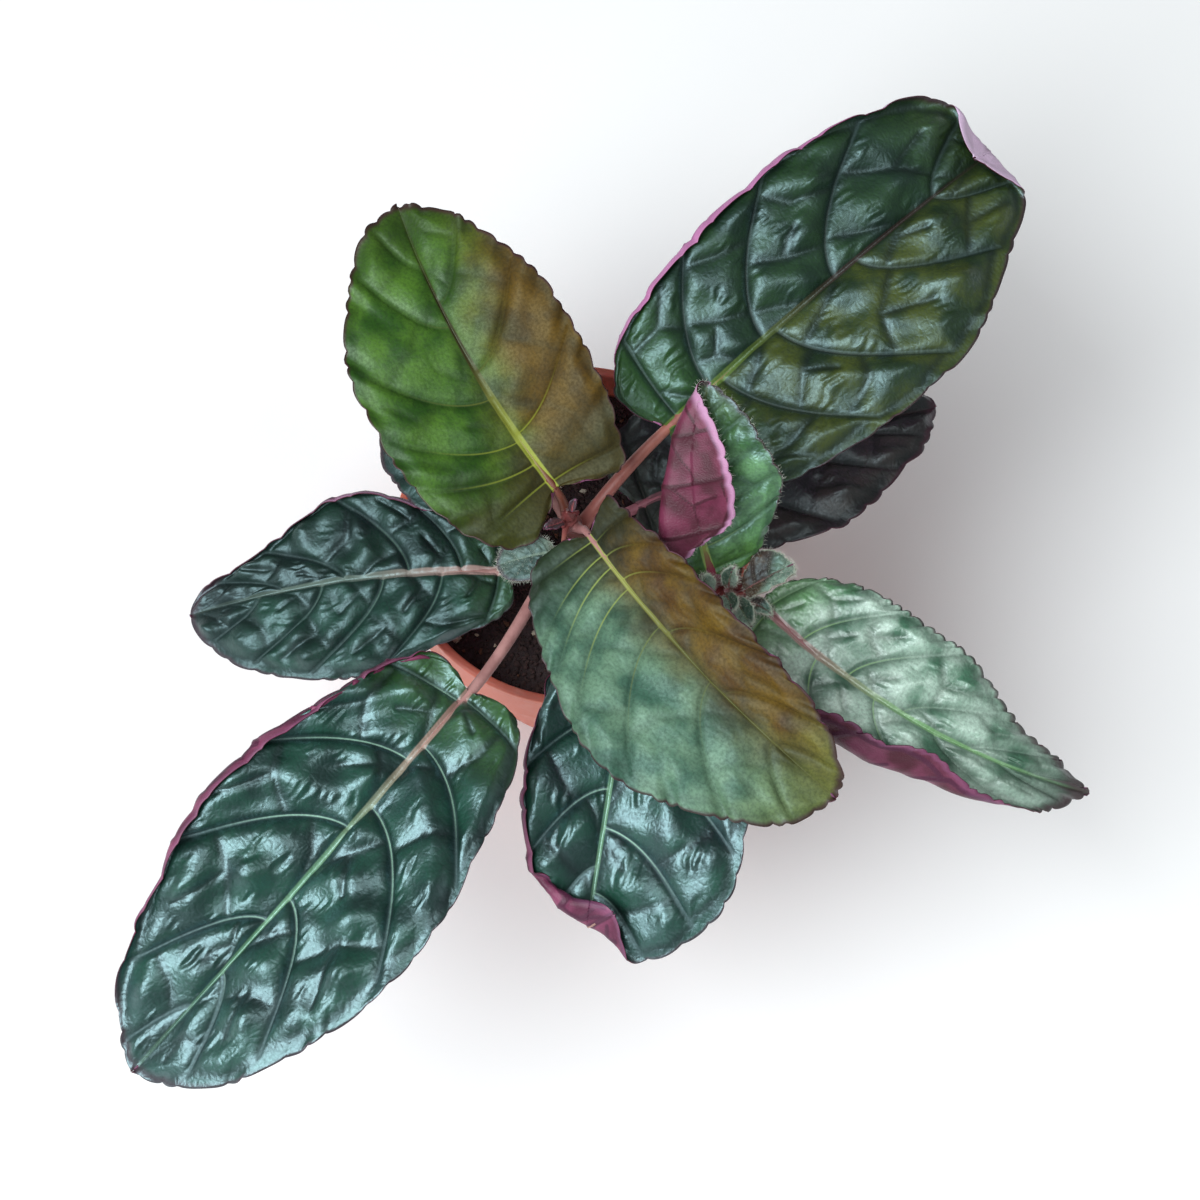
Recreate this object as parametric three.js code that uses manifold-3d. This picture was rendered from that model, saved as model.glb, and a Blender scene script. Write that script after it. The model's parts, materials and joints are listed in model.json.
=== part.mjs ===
// A waffle plant in a small terracotta-coloured nursery pot: two stems that rise from the soil, ten quilted
// leaves on their petioles, and the small young leaves and buds at the two growing tips. Millimetres, +Z up.
// The origin is the centre of the pot's base, on the surface that it stands on, and -Y is the plant's front.
import * as THREE from "three";
import { mergeVertices } from "three/addons/utils/BufferGeometryUtils.js";
import Module from "manifold-3d";

const wasm = await Module();
wasm.setup();

const GAP = 0.35; // left between neighbouring solids
const WORLD_UP = new THREE.Vector3(0, 0, 1);
const rad = THREE.MathUtils.degToRad;
const { lerp, smoothstep } = THREE.MathUtils;

// The pot: a tapered cup under a wider collar, with small drain holes near the edge of its base.
const POT = {
  height: 70,
  rimRadius: 38,
  baseRadius: 26.5,
  wall: 1.6,
  draft: 0.3, // how much the inside narrows from the rim down through the collar
  floor: 2,
  collarHeight: 15,
  collarStep: 2.6, // how far the collar stands out from the cup
  rounding: 0.7,
  holes: 6,
  holeRadius: 1.9,
  holeCircle: 20,
  holeSides: 8,
  sides: 40,
};
// The soil: slack is how far its shoulder keeps from the turn of the pot's wall.
const SOIL = { top: 61, crown: 2.4, clods: 1.1, calmMiddle: 6, slack: 0.2, rings: 5, sides: 26 };

// Each stem runs through its places and thins from the soil upwards. Joints are the heights where it swells.
const STEMS = {
  main_stem: {
    places: [[3, -3, 58], [2.2, -5, 74], [0.5, -8.5, 92], [-0.8, -10.5, 107]],
    radius: [2.3, 1.5],
    joints: [72, 81, 93, 103],
  },
  side_stem: {
    places: [[10, -8, 58], [15, -11.5, 73], [24, -17, 88], [31.5, -22, 101]],
    radius: [1.9, 1.2],
    joints: [70, 84, 98],
  },
};
const STEM_SIDES = 8;
const STEM_STEPS = 14;
const JOINT = { swell: 0.35, reach: 2.6 };

// Every leaf: the stem that it grows on and how far up it, and where its blade begins and ends. rise lifts
// the middle of the midrib, and bow moves it to the left, seen from the leaf's base. left and right are the
// half widths at the base, quarter, middle, three-quarter and tip, and lobe is how far the base's lobes
// reach back. roll turns the blade about its midrib; fold and cup lift its halves [left, right] in degrees,
// as one plane and as a curve. edge rolls the outermost strip up, and each turn rolls up all that lies beyond
// a line: at is [share of the length, mm to the left], toward the way of crossing it, from the midrib's own.
const LEAVES = {
  leaf_front_left: {
    stem: "main_stem", at: 0.72, base: [-20, -43.5, 99], tip: [-84.5, -115, 86],
    rise: 5, bow: 2, lobe: 6, left: [24, 25.5, 27, 24, 12], right: [25, 28, 28.5, 23, 12],
    roll: 0, fold: [4, 6], cup: [14, 18], edge: [0, 120], veins: 6, bulge: 3,
    turns: [],
  },
  leaf_back_right: {
    stem: "main_stem", at: 0.74, base: [18.5, 9.5, 104], tip: [88.5, 75, 104],
    rise: 5, bow: 0, lobe: 8, left: [31, 31, 28, 29, 31], right: [32, 35, 31, 24, 19],
    roll: 4, fold: [8, 2], cup: [18, 8], edge: [120, 0], veins: 6, bulge: 2.8,
    turns: [{ at: [0.955, 0], toward: 0, radius: 1.8, by: 140 }],
  },
  leaf_top_back: {
    stem: "main_stem", at: 0.93, base: [-3.5, -5.5, 110], tip: [-34.5, 49, 122],
    rise: 3, bow: 3, lobe: 7.5, left: [25, 28, 23, 18, 17], right: [28, 26, 22, 17, 12],
    roll: 4, fold: [0, 18], cup: [4, 14], edge: [0, 0], veins: 6, bulge: 1.7,
    turns: [],
  },
  leaf_top_front: {
    stem: "main_stem", at: 0.95, base: [3.3, -16, 112], tip: [48.5, -67.5, 113],
    rise: 4, bow: -3, lobe: 6, left: [28, 22, 19, 16, 16], right: [21, 25, 26, 22, 23],
    roll: 0, fold: [40, 2], cup: [22, 8], edge: [0, 0], veins: 6, bulge: 1.9,
    turns: [],
  },
  leaf_left: {
    stem: "main_stem", at: 0.4, base: [-13.5, -14.5, 86], tip: [-79, -20.5, 76],
    rise: 5, bow: -1, lobe: 4, left: [16, 17, 20.5, 20, 14], right: [14, 16, 18.5, 14, 8],
    roll: 0, fold: [4, 8], cup: [10, 16], edge: [0, 120], veins: 6, bulge: 2.4,
    turns: [],
  },
  leaf_back_left: {
    stem: "main_stem", at: 0.52, base: [-9, 3, 93], tip: [-43.5, 17, 92],
    rise: 3, bow: 0, lobe: 3, left: [13, 15, 15, 12, 8], right: [13, 15, 15, 12, 8],
    roll: 0, fold: [5, 5], cup: [10, 10], edge: [0, 0], veins: 5, bulge: 1.5,
    turns: [],
  },
  leaf_low_right: {
    stem: "main_stem", at: 0.34, base: [13, 1, 82], tip: [76, 24.5, 79],
    rise: 4, bow: 0, lobe: 7, left: [24, 25, 25, 20, 12], right: [21, 22, 21, 15, 6],
    roll: 0, fold: [4, 4], cup: [12, 12], edge: [0, 0], veins: 6, bulge: 2.2,
    turns: [],
  },
  leaf_front: {
    stem: "side_stem", at: 0.42, base: [12, -31, 88], tip: [8, -94, 75],
    rise: 6, bow: 2, lobe: 6, left: [25, 26, 25, 22, 20], right: [24, 24, 24, 27, 32],
    roll: 0, fold: [4, 4], cup: [12, 12], edge: [0, 0], veins: 6, bulge: 3,
    turns: [{ at: [0.9, 0], toward: -34, radius: 2.2, by: 140 }],
  },
  leaf_right: {
    stem: "side_stem", at: 0.9, base: [36.5, -26, 100], tip: [101.5, -60, 85],
    rise: 6, bow: -7, lobe: 3, left: [17, 21, 17.5, 9, 3.5], right: [16, 22, 22, 15, 3],
    roll: 0, fold: [4, 0], cup: [10, 0], edge: [0, 0], veins: 6, bulge: 2,
    turns: [{ at: [0.5, -9], toward: -78, radius: 2.6, by: 132 }],
  },
  leaf_upright: {
    stem: "side_stem", at: 0.96, base: [26.3, -17, 108], tip: [25, 7, 134],
    rise: 2, bow: 3.5, lobe: 4.5, left: [16, 20, 21, 16, 8], right: [14, 16, 15, 14, 12],
    roll: 0, fold: [0, 6], cup: [0, 12], edge: [0, 0], veins: 6, bulge: 1.2,
    turns: [{ at: [0, 3], toward: 90, radius: 2.4, by: 145 }],
  },
};

// The small leaves of the growing tips, told the same way.
const YOUNG_LEAVES = {
  young_main_left: {
    stem: "main_stem", at: 0.985, base: [-3.6, -17.5, 107], tip: [-14.8, -19.5, 104.5],
    rise: 0.8, bow: 0, lobe: 0.5, left: [4.6, 4.9, 4.9, 5, 4.4], right: [4.2, 4.4, 4.4, 4.4, 4],
    roll: 0, fold: [4, 4], cup: [10, 10], edge: [0, 0], veins: 2, bulge: 0.2,
    turns: [],
  },
  young_side_right: {
    stem: "side_stem", at: 0.985, base: [35, -21.5, 104], tip: [43.5, -16.5, 108],
    rise: 0.8, bow: 0, lobe: 0.5, left: [4, 4.2, 4.2, 3.6, 2.4], right: [4, 4.4, 4.4, 3.8, 2.6],
    roll: -10, fold: [10, 34], cup: [14, 24], edge: [0, 0], veins: 2, bulge: 0.2,
    turns: [],
  },
  young_side_back: {
    stem: "side_stem", at: 0.985, base: [29.2, -25.2, 105.2], tip: [26.6, -25, 111.4],
    rise: 0.4, bow: 0, lobe: 0.3, left: [1.8, 2, 2, 1.8, 1], right: [1.8, 2, 2, 1.8, 1],
    roll: 0, fold: [30, 10], cup: [20, 10], edge: [0, 0], veins: 2, bulge: 0.1,
    turns: [],
  },
  young_side_front: {
    stem: "side_stem", at: 0.93, base: [31.6, -27.6, 103.5], tip: [33.6, -33.8, 105],
    rise: 0.8, bow: 0, lobe: 0.3, left: [2.2, 2.4, 2.4, 2.2, 1.4], right: [2.2, 2.4, 2.4, 2.2, 1.4],
    roll: 0, fold: [24, 12], cup: [20, 20], edge: [0, 0], veins: 2, bulge: 0.1,
    turns: [],
  },
};

// The blade's grid: a row on every side vein and one on the crest between two, columns across both halves.
// quilt is how high a crest stands at each column, so that every strip between side veins holds two lumps.
const BLADE = {
  columns: [0, 0.2, 0.43, 0.66, 0.86, 1],
  quilt: [0, 1, 0.4, 1, 0.5, 0],
  thickness: 0.7,
  ends: [0.05, 0.97],
  advance: 1.6, // how strongly the side veins lean towards the tip
  edgeFrom: 0.86,
  edgeRadius: 1.3,
  lobeLength: 0.36, // the share of the outline that is drawn back into the base's lobe
};
const YOUNG_BLADE = { ...BLADE, columns: [0, 0.55, 1], quilt: [0, 1, 0] };
// A petiole leaves its stem at a slope, bends over a share of its length at either end, and lies sunk under
// the blade.
const PETIOLE = {
  radius: [1.45, 1.05],
  sides: 7,
  stepLength: 7,
  intoBlade: 0.08,
  slope: 0.6,
  pull: 0.38,
  sunk: 0.4,
};
const YOUNG_PETIOLE = { ...PETIOLE, radius: [0.55, 0.4], sides: 5, stepLength: 2.5, intoBlade: 0.12 };
const BUD = { length: 4.5, radius: 1.5, rings: 4, sides: 7, from: 0.2, to: 0.95, fullness: 0.8 };

// A closed solid of shared vertices, as the booleans take it.
function solidOf(geometry) {
  const plain = new THREE.BufferGeometry().setAttribute("position", geometry.getAttribute("position"));
  plain.setIndex(geometry.index);
  const merged = mergeVertices(plain, 1e-4);
  return new wasm.Manifold(
    new wasm.Mesh({
      numProp: 3,
      vertProperties: new Float32Array(merged.attributes.position.array),
      triVerts: new Uint32Array(merged.index.array),
    }),
  );
}

function geometryOf(solid) {
  const made = solid.getMesh();
  const geometry = new THREE.BufferGeometry();
  geometry.setAttribute("position", new THREE.BufferAttribute(made.vertProperties, 3));
  geometry.setIndex(new THREE.BufferAttribute(made.triVerts, 1));
  return geometry;
}

// A closed solid from rings of points: sides between the rings, and a fan over each end.
function loft(rings) {
  const around = rings[0].length;
  const faces = [];
  for (let i = 0; i + 1 < rings.length; i++) {
    for (let j = 0; j < around; j++) {
      const a = i * around + j;
      const b = i * around + ((j + 1) % around);
      faces.push(a, b, a + around, b, b + around, a + around);
    }
  }
  const last = (rings.length - 1) * around;
  for (let j = 1; j + 1 < around; j++) {
    faces.push(0, j + 1, j, last, last + j, last + j + 1);
  }
  return new THREE.BufferGeometry().setFromPoints(rings.flat()).setIndex(faces);
}

// Rings of points round a line of stations, each with its place, forward direction and radius.
function ringsAlong(stations, sides) {
  const start = new THREE.Vector3(0, 1, 0).cross(stations[0].forward).normalize();
  return stations.map(({ point, forward, radius }) => {
    const out = start.clone().addScaledVector(forward, -start.dot(forward)).normalize();
    const over = new THREE.Vector3().crossVectors(forward, out);
    return Array.from({ length: sides }, (_, j) => {
      const turn = (2 * Math.PI * j) / sides;
      return point
        .clone()
        .addScaledVector(out, radius * Math.cos(turn))
        .addScaledVector(over, radius * Math.sin(turn));
    });
  });
}

// A thin closed plate from a grid of points, with the depth of its underside told for every column of a row.
function plate(grid, top, depthAt) {
  const rows = grid.length;
  const columns = grid[0].length;
  const normalAt = (i, j) => {
    const along = grid[Math.min(i + 1, rows - 1)][j].clone().sub(grid[Math.max(i - 1, 0)][j]);
    const across = grid[i][Math.min(j + 1, columns - 1)].clone().sub(grid[i][Math.max(j - 1, 0)]);
    return along.cross(across).normalize();
  };
  const shifted = (distance) =>
    grid.flatMap((row, i) => row.map((p, j) => p.clone().addScaledVector(normalAt(i, j), distance(i, j))));
  const above = shifted(() => top);
  const below = shifted((i, j) => -depthAt(i, j));
  const size = rows * columns;
  const faces = [];
  const quad = (a, b, c, d) => faces.push(a, b, c, a, c, d);
  for (let i = 0; i + 1 < rows; i++) {
    for (let j = 0; j + 1 < columns; j++) {
      const a = i * columns + j;
      quad(a, a + columns, a + columns + 1, a + 1);
      quad(size + a, size + a + 1, size + a + columns + 1, size + a + columns);
    }
  }
  const rim = [];
  for (let j = 0; j < columns; j++) rim.push(j);
  for (let i = 1; i < rows; i++) rim.push(i * columns + columns - 1);
  for (let j = columns - 2; j >= 0; j--) rim.push((rows - 1) * columns + j);
  for (let i = rows - 2; i > 0; i--) rim.push(i * columns);
  rim.forEach((a, k) => {
    const b = rim[(k + 1) % rim.length];
    quad(a, b, size + b, size + a);
  });
  return new THREE.BufferGeometry().setFromPoints([...above, ...below]).setIndex(faces);
}

function stemCurve({ places }) {
  return new THREE.CatmullRomCurve3(places.map((p) => new THREE.Vector3(...p)), false, "centripetal");
}

function stemStations(stem) {
  const curve = stemCurve(stem);
  return Array.from({ length: STEM_STEPS + 1 }, (_, i) => {
    const share = i / STEM_STEPS;
    const point = curve.getPointAt(share);
    const nearest = Math.min(...stem.joints.map((height) => Math.abs(height - point.z)));
    const swell = 1 + JOINT.swell * (1 - smoothstep(nearest, 0, JOINT.reach));
    return { point, forward: curve.getTangentAt(share), radius: lerp(...stem.radius, share) * swell };
  });
}

// Where on its stem a petiole begins, just clear of the bark, and the way that it leaves.
function footOf(leaf) {
  const stem = STEMS[leaf.stem];
  const curve = stemCurve(stem);
  const forward = curve.getTangentAt(leaf.at);
  const middle = curve.getPointAt(leaf.at);
  const out = new THREE.Vector3(...leaf.base).sub(middle);
  out.addScaledVector(forward, -out.dot(forward)).normalize();
  const bark = lerp(...stem.radius, leaf.at) * (1 + JOINT.swell);
  return { point: middle.addScaledVector(out, bark + GAP), out };
}

// A blade's midrib: a function of the distance along it, giving the place and the frame of the blade there.
function midribOf(leaf) {
  const base = new THREE.Vector3(...leaf.base);
  const reach = new THREE.Vector3(...leaf.tip).sub(base);
  const side = new THREE.Vector3().crossVectors(WORLD_UP, reach).normalize();
  const length = reach.length();
  const place = (share) => {
    const hump = 4 * share * (1 - share);
    return base
      .clone()
      .addScaledVector(reach, share)
      .addScaledVector(WORLD_UP, leaf.rise * hump)
      .addScaledVector(side, leaf.bow * hump);
  };
  const frameAt = (distance) => {
    const share = distance / length;
    const forward = place(share + 0.01).sub(place(share - 0.01)).normalize();
    const left = new THREE.Vector3().crossVectors(WORLD_UP, forward).normalize();
    left.applyAxisAngle(forward, rad(leaf.roll));
    return { point: place(share), forward, left, over: new THREE.Vector3().crossVectors(forward, left) };
  };
  return { length, frameAt };
}

// A value told at evenly spaced places, eased between them.
function eased(values, share) {
  const place = Math.min(share, 0.9999) * (values.length - 1);
  const index = Math.floor(place);
  return lerp(values[index], values[index + 1], smoothstep(place - index, 0, 1));
}

// Where a row meets the outline of one half, on the blade laid flat.
function outlineOf(leaf, length, row, widths) {
  const back = leaf.lobe * Math.sin(Math.PI * Math.min(1, row / BLADE.lobeLength)) ** 1.2;
  return {
    along: (length * (1 - Math.cos(Math.PI * row))) / 2 - back,
    out: eased(widths, row) * Math.sin(Math.PI * row),
  };
}

// How far out and up a point comes to lie that is some distance beyond the line where a roll begins.
function rolled(distance, height, radius, by) {
  const turn = Math.min(Math.max(distance, 0) / radius, rad(by));
  const beyond = distance - turn * radius;
  return {
    out: radius * Math.sin(turn) + beyond * Math.cos(turn) - height * Math.sin(turn),
    up: radius * (1 - Math.cos(turn)) + beyond * Math.sin(turn) + height * Math.cos(turn),
  };
}

// One point of the blade, from its flat place and its height there, with every roll and fold made.
function bladePoint(leaf, midrib, flat) {
  let { along, left, height } = flat;
  for (const turn of leaf.turns) {
    const toward = { along: Math.cos(rad(turn.toward)), left: Math.sin(rad(turn.toward)) };
    const distance = (along - turn.at[0] * midrib.length) * toward.along + (left - turn.at[1]) * toward.left;
    const { out, up } = rolled(distance, height, turn.radius, turn.by);
    along += (out - distance) * toward.along;
    left += (out - distance) * toward.left;
    height = up;
  }
  const half = left > 0 ? 0 : 1;
  const sign = left > 0 ? 1 : -1;
  const start = rad(leaf.fold[half]);
  const widest = Math.max(...(half === 0 ? leaf.left : leaf.right));
  const bend = Math.max(rad(leaf.cup[half]), 1e-4) / widest;
  const angle = start + bend * Math.abs(left);
  const frame = midrib.frameAt(along);
  const out = (Math.sin(angle) - Math.sin(start)) / bend - height * Math.sin(angle);
  const up = (Math.cos(start) - Math.cos(angle)) / bend + height * Math.cos(angle);
  return frame.point.addScaledVector(frame.left, sign * out).addScaledVector(frame.over, up);
}

// The blade's grid of points, from the right edge to the left edge on every row.
function bladeGrid(leaf, midrib, blade) {
  const rows = leaf.veins * 2;
  return Array.from({ length: rows + 1 }, (_, i) => {
    const row = lerp(...blade.ends, i / rows);
    const start = midrib.length * (row / blade.ends[1]) ** blade.advance;
    const half = (widths, edge, sign) => {
      const end = outlineOf(leaf, midrib.length, row, widths);
      const span = Math.hypot(end.along - start, end.out);
      return blade.columns.map((column, j) => {
        const height = i % 2 ? leaf.bulge * blade.quilt[j] * Math.sin(Math.PI * row) : 0;
        const beyond = edge ? (column - blade.edgeFrom) * span : 0;
        const roll = rolled(beyond, height, blade.edgeRadius, edge);
        const share = beyond > 0 ? blade.edgeFrom + roll.out / span : column;
        return bladePoint(leaf, midrib, {
          along: lerp(start, end.along, share),
          left: sign * end.out * share,
          height: roll.up,
        });
      });
    };
    const right = half(leaf.right, leaf.edge[1], -1);
    const left = half(leaf.left, leaf.edge[0], 1);
    return [...right.reverse(), ...left.slice(1)];
  });
}

// The petiole, from just clear of its stem to a little way under the blade.
function petioleRings(leaf, midrib, petiole) {
  const foot = footOf(leaf);
  const base = midrib.frameAt(0);
  const reach = base.point.distanceTo(foot.point) * petiole.pull;
  const sunk = petiole.radius[1] * petiole.sunk;
  const first = foot.out.clone().addScaledVector(WORLD_UP, petiole.slope).normalize();
  const curve = new THREE.CubicBezierCurve3(
    foot.point.clone().addScaledVector(foot.out, petiole.radius[0] * petiole.sunk),
    foot.point.clone().addScaledVector(first, reach),
    base.point.clone().addScaledVector(base.forward, -reach),
    base.point,
  );
  const steps = Math.max(2, Math.round(curve.getLength() / petiole.stepLength));
  const stations = Array.from({ length: steps + 1 }, (_, i) => ({
    point: curve.getPointAt(i / steps).addScaledVector(base.over, -sunk),
    forward: curve.getTangentAt(i / steps),
    radius: lerp(...petiole.radius, i / steps),
  }));
  const under = midrib.frameAt(midrib.length * petiole.intoBlade);
  const end = under.point.addScaledVector(under.over, -sunk);
  stations.push({ point: end, forward: under.forward, radius: petiole.radius[1] - sunk });
  return ringsAlong(stations, petiole.sides);
}

function leafGeometry(leaf, blade, petiole) {
  const midrib = midribOf(leaf);
  const grid = bladeGrid(leaf, midrib, blade);
  const middle = blade.columns.length - 1;
  const ridge = (i) => petiole.radius[1] * lerp(1, 0.2, i / (grid.length - 1));
  const depthAt = (i, j) => (j === middle ? ridge(i) : blade.thickness / 2);
  const solid = solidOf(plate(grid, blade.thickness / 2, depthAt));
  return geometryOf(solid.add(solidOf(loft(petioleRings(leaf, midrib, petiole)))));
}

// A bud: a small pointed oval standing on the end of its stem.
function budGeometry(stem) {
  const { length, radius, rings, sides, from, to, fullness } = BUD;
  const curve = stemCurve(stem);
  const forward = curve.getTangentAt(1);
  const foot = curve.getPointAt(1).addScaledVector(forward, GAP);
  const stations = Array.from({ length: rings + 1 }, (_, i) => {
    const share = i / rings;
    const shape = Math.sin(Math.PI * lerp(from, to, share) ** fullness);
    return { point: foot.clone().addScaledVector(forward, length * share), forward, radius: radius * shape };
  });
  return loft(ringsAlong(stations, sides));
}

function turned(profile, sides) {
  const points = profile.map(([r, z]) => new THREE.Vector2(r, z));
  return new THREE.LatheGeometry(points, sides).rotateX(Math.PI / 2);
}

function potGeometry() {
  const { height, rimRadius, baseRadius, wall, draft, floor, collarHeight, collarStep, rounding } = POT;
  const step = height - collarHeight;
  const cup = rimRadius - collarStep;
  const outside = [
    [0, 0],
    [baseRadius, 0],
    [cup, step],
    [rimRadius - rounding, step],
    [rimRadius, step + rounding],
    [rimRadius, height - rounding],
    [rimRadius - rounding, height],
  ];
  const inside = [
    [rimRadius - wall - draft, height],
    [rimRadius - wall - 2 * draft, step + rounding],
    [cup - wall, step - rounding],
    [baseRadius - wall, floor],
    [0, floor],
  ];
  let solid = solidOf(turned([...outside, ...inside], POT.sides));
  for (let i = 0; i < POT.holes; i++) {
    const turn = (2 * Math.PI * (i + 0.5)) / POT.holes;
    const drill = new THREE.CylinderGeometry(POT.holeRadius, POT.holeRadius, floor * 4, POT.holeSides);
    drill.rotateX(Math.PI / 2);
    drill.translate(POT.holeCircle * Math.cos(turn), POT.holeCircle * Math.sin(turn), 0);
    solid = solid.subtract(solidOf(drill));
  }
  return geometryOf(solid);
}

// Soil that fills the pot to just below its rim, crowned and lumpy, with a clear sleeve round each stem.
function soilGeometry() {
  const step = POT.height - POT.collarHeight;
  const clearOf = (r) => r * Math.cos(Math.PI / POT.sides) - GAP;
  const wide = clearOf(POT.rimRadius - POT.wall - 2 * POT.draft);
  const neck = clearOf(POT.rimRadius - POT.collarStep - POT.wall) - SOIL.slack;
  const low = clearOf(POT.baseRadius - POT.wall);
  const surface = (r, turn) => {
    const inward = 1 - (r / wide) ** 2;
    const lumps = Math.sin(turn * 5 + r / 2) * Math.sin(turn * 3 - r / 3) * Math.min(1, r / SOIL.calmMiddle);
    return SOIL.top + SOIL.crown * inward + SOIL.clods * lumps * Math.sqrt(Math.max(inward, 0));
  };
  const ring = (r, z) =>
    Array.from({ length: SOIL.sides }, (_, j) => {
      const turn = (2 * Math.PI * j) / SOIL.sides;
      return new THREE.Vector3(r * Math.cos(turn), r * Math.sin(turn), z ?? surface(r, turn));
    });
  const shoulder = step + 2 * POT.wall;
  const rings = [ring(low, POT.floor + GAP), ring(neck, step - 1), ring(wide, shoulder), ring(wide)];
  for (let i = 1; i < SOIL.rings; i++) rings.push(ring(wide * (1 - i / SOIL.rings)));
  let solid = solidOf(loft(rings));
  for (const stem of Object.values(STEMS)) {
    const sleeve = stemStations(stem).map((station) => ({ ...station, radius: station.radius + GAP }));
    const foot = sleeve[0].point.clone().addScaledVector(sleeve[0].forward, -GAP);
    sleeve.unshift({ ...sleeve[0], point: foot });
    solid = solid.subtract(solidOf(loft(ringsAlong(sleeve, STEM_SIDES))));
  }
  return geometryOf(solid);
}

const paint = (color, roughness) => new THREE.MeshStandardMaterial({ color, roughness, metalness: 0 });
const LEAF_GREEN = paint(0x1f4a3a, 0.35);
const BRONZE_GREEN = paint(0x55692a, 0.4);
const DARK_LEAF = paint(0x2b2a2a, 0.4);
const UPRIGHT_PINK = paint(0x9c4a6c, 0.45);
const DOWNY_GREEN = paint(0x66806c, 0.7);
const STEM_RED = paint(0x8a4a48, 0.5);
const TERRACOTTA = paint(0xdc7c62, 0.55);
const SOIL_BROWN = paint(0x2a2023, 0.95);
const LEAF_COLOURS = {
  leaf_top_back: BRONZE_GREEN,
  leaf_top_front: BRONZE_GREEN,
  leaf_low_right: DARK_LEAF,
  leaf_upright: UPRIGHT_PINK,
};

const group = new THREE.Group();

function addPiece(name, geometry, material) {
  geometry.computeVertexNormals();
  const mesh = new THREE.Mesh(geometry, material);
  mesh.name = name;
  group.add(mesh);
}

addPiece("pot", potGeometry(), TERRACOTTA);
addPiece("soil", soilGeometry(), SOIL_BROWN);
for (const [name, stem] of Object.entries(STEMS)) {
  addPiece(name, loft(ringsAlong(stemStations(stem), STEM_SIDES)), STEM_RED);
  addPiece(name.replace("stem", "bud"), budGeometry(stem), STEM_RED);
}
for (const [name, leaf] of Object.entries(LEAVES)) {
  addPiece(name, leafGeometry(leaf, BLADE, PETIOLE), LEAF_COLOURS[name] ?? LEAF_GREEN);
}
for (const [name, leaf] of Object.entries(YOUNG_LEAVES)) {
  addPiece(name, leafGeometry(leaf, YOUNG_BLADE, YOUNG_PETIOLE), DOWNY_GREEN);
}

export default group;
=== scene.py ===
# %% [markdown]
# # A waffle plant in its nursery pot
# This lesson dresses a plain CAD model of a small potted plant. The CAD solids say where everything is;
# each step below makes one piece of the plant finely enough to look real, in the same place.
# Measures of the plant and its pot are in millimetres, as a grower would give them, and become metres when
# a mesh is made. The camera, the lights, the floor and the sizes of scattered grains and hairs are in
# Blender's own metres.

# %% Load the frame
import json
import math
import bpy
import numpy as np
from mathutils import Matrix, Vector

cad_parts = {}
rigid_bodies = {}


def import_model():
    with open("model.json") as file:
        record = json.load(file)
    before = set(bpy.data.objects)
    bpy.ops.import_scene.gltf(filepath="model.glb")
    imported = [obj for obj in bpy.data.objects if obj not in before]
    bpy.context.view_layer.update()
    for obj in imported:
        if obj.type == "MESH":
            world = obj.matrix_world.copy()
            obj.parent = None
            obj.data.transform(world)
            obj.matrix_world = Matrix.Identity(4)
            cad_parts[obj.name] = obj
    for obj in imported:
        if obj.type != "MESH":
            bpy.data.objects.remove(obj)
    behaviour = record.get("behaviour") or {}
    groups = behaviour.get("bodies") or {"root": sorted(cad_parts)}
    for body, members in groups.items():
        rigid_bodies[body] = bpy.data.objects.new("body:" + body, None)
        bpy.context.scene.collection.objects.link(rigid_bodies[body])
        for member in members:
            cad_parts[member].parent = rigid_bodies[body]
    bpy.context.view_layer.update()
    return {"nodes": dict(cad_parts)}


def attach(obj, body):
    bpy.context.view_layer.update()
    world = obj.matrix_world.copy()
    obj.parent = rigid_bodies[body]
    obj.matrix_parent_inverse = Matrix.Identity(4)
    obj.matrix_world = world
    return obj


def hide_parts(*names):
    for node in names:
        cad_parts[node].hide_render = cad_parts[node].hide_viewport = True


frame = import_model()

MM = 0.001

# %% [markdown]
# ## Camera, floor and light
# The plant is seen from almost straight above, as one looks down at a pot on a table. The camera therefore
# stands at 72 degrees of elevation. A plant has a glossy, quilted skin, and gloss shows only what it mirrors.
# So the light is one broad soft panel above the front left, which gives broad sheens, and a small weak one
# above the front right, which keeps the far sides of the bulges from going black.

# %% Camera
ELEVATION = math.radians(72)
TARGET = Vector((5.2, -25, 100)) * MM
CAMERA_DISTANCE = 0.45
camera = bpy.data.cameras.new("camera")
camera.lens = 69.24
camera.sensor_width = 36
camera.clip_start = 0.01
camera_object = bpy.data.objects.new("camera", camera)
away = Vector((0, -math.cos(ELEVATION), math.sin(ELEVATION)))
camera_object.location = TARGET + away * CAMERA_DISTANCE
camera_object.rotation_euler = (math.pi / 2 - ELEVATION, 0, 0)
bpy.context.scene.collection.objects.link(camera_object)
bpy.context.scene.camera = camera_object
bpy.context.scene.view_settings.view_transform = "Standard"
print("camera at", [round(value, 3) for value in camera_object.location], "m")


# %% Colours
def paint(red, green, blue):
    """A colour told as 0 to 255 on a screen, as linear light with alpha."""
    screen = np.array([red, green, blue]) / 255
    linear = np.where(screen <= 0.04045, screen / 12.92, ((screen + 0.055) / 1.055) ** 2.4)
    return (*linear.tolist(), 1.0)


def shades(*numbers):
    """Two paints from six such numbers."""
    return paint(*numbers[:3]), paint(*numbers[3:])


# %% Node helpers
def feed(tree, socket, given):
    """Links a socket to another one, or sets its value."""
    if isinstance(given, bpy.types.NodeSocket):
        tree.links.new(given, socket)
    else:
        socket.default_value = given


def add_node(tree, kind, inputs=None, **settings):
    """A node with its own settings, and with its inputs fed by name or number."""
    node = tree.nodes.new(kind)
    for key, value in settings.items():
        setattr(node, key, value)
    for key, given in (inputs or {}).items():
        feed(tree, node.inputs[key], given)
    return node


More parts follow.
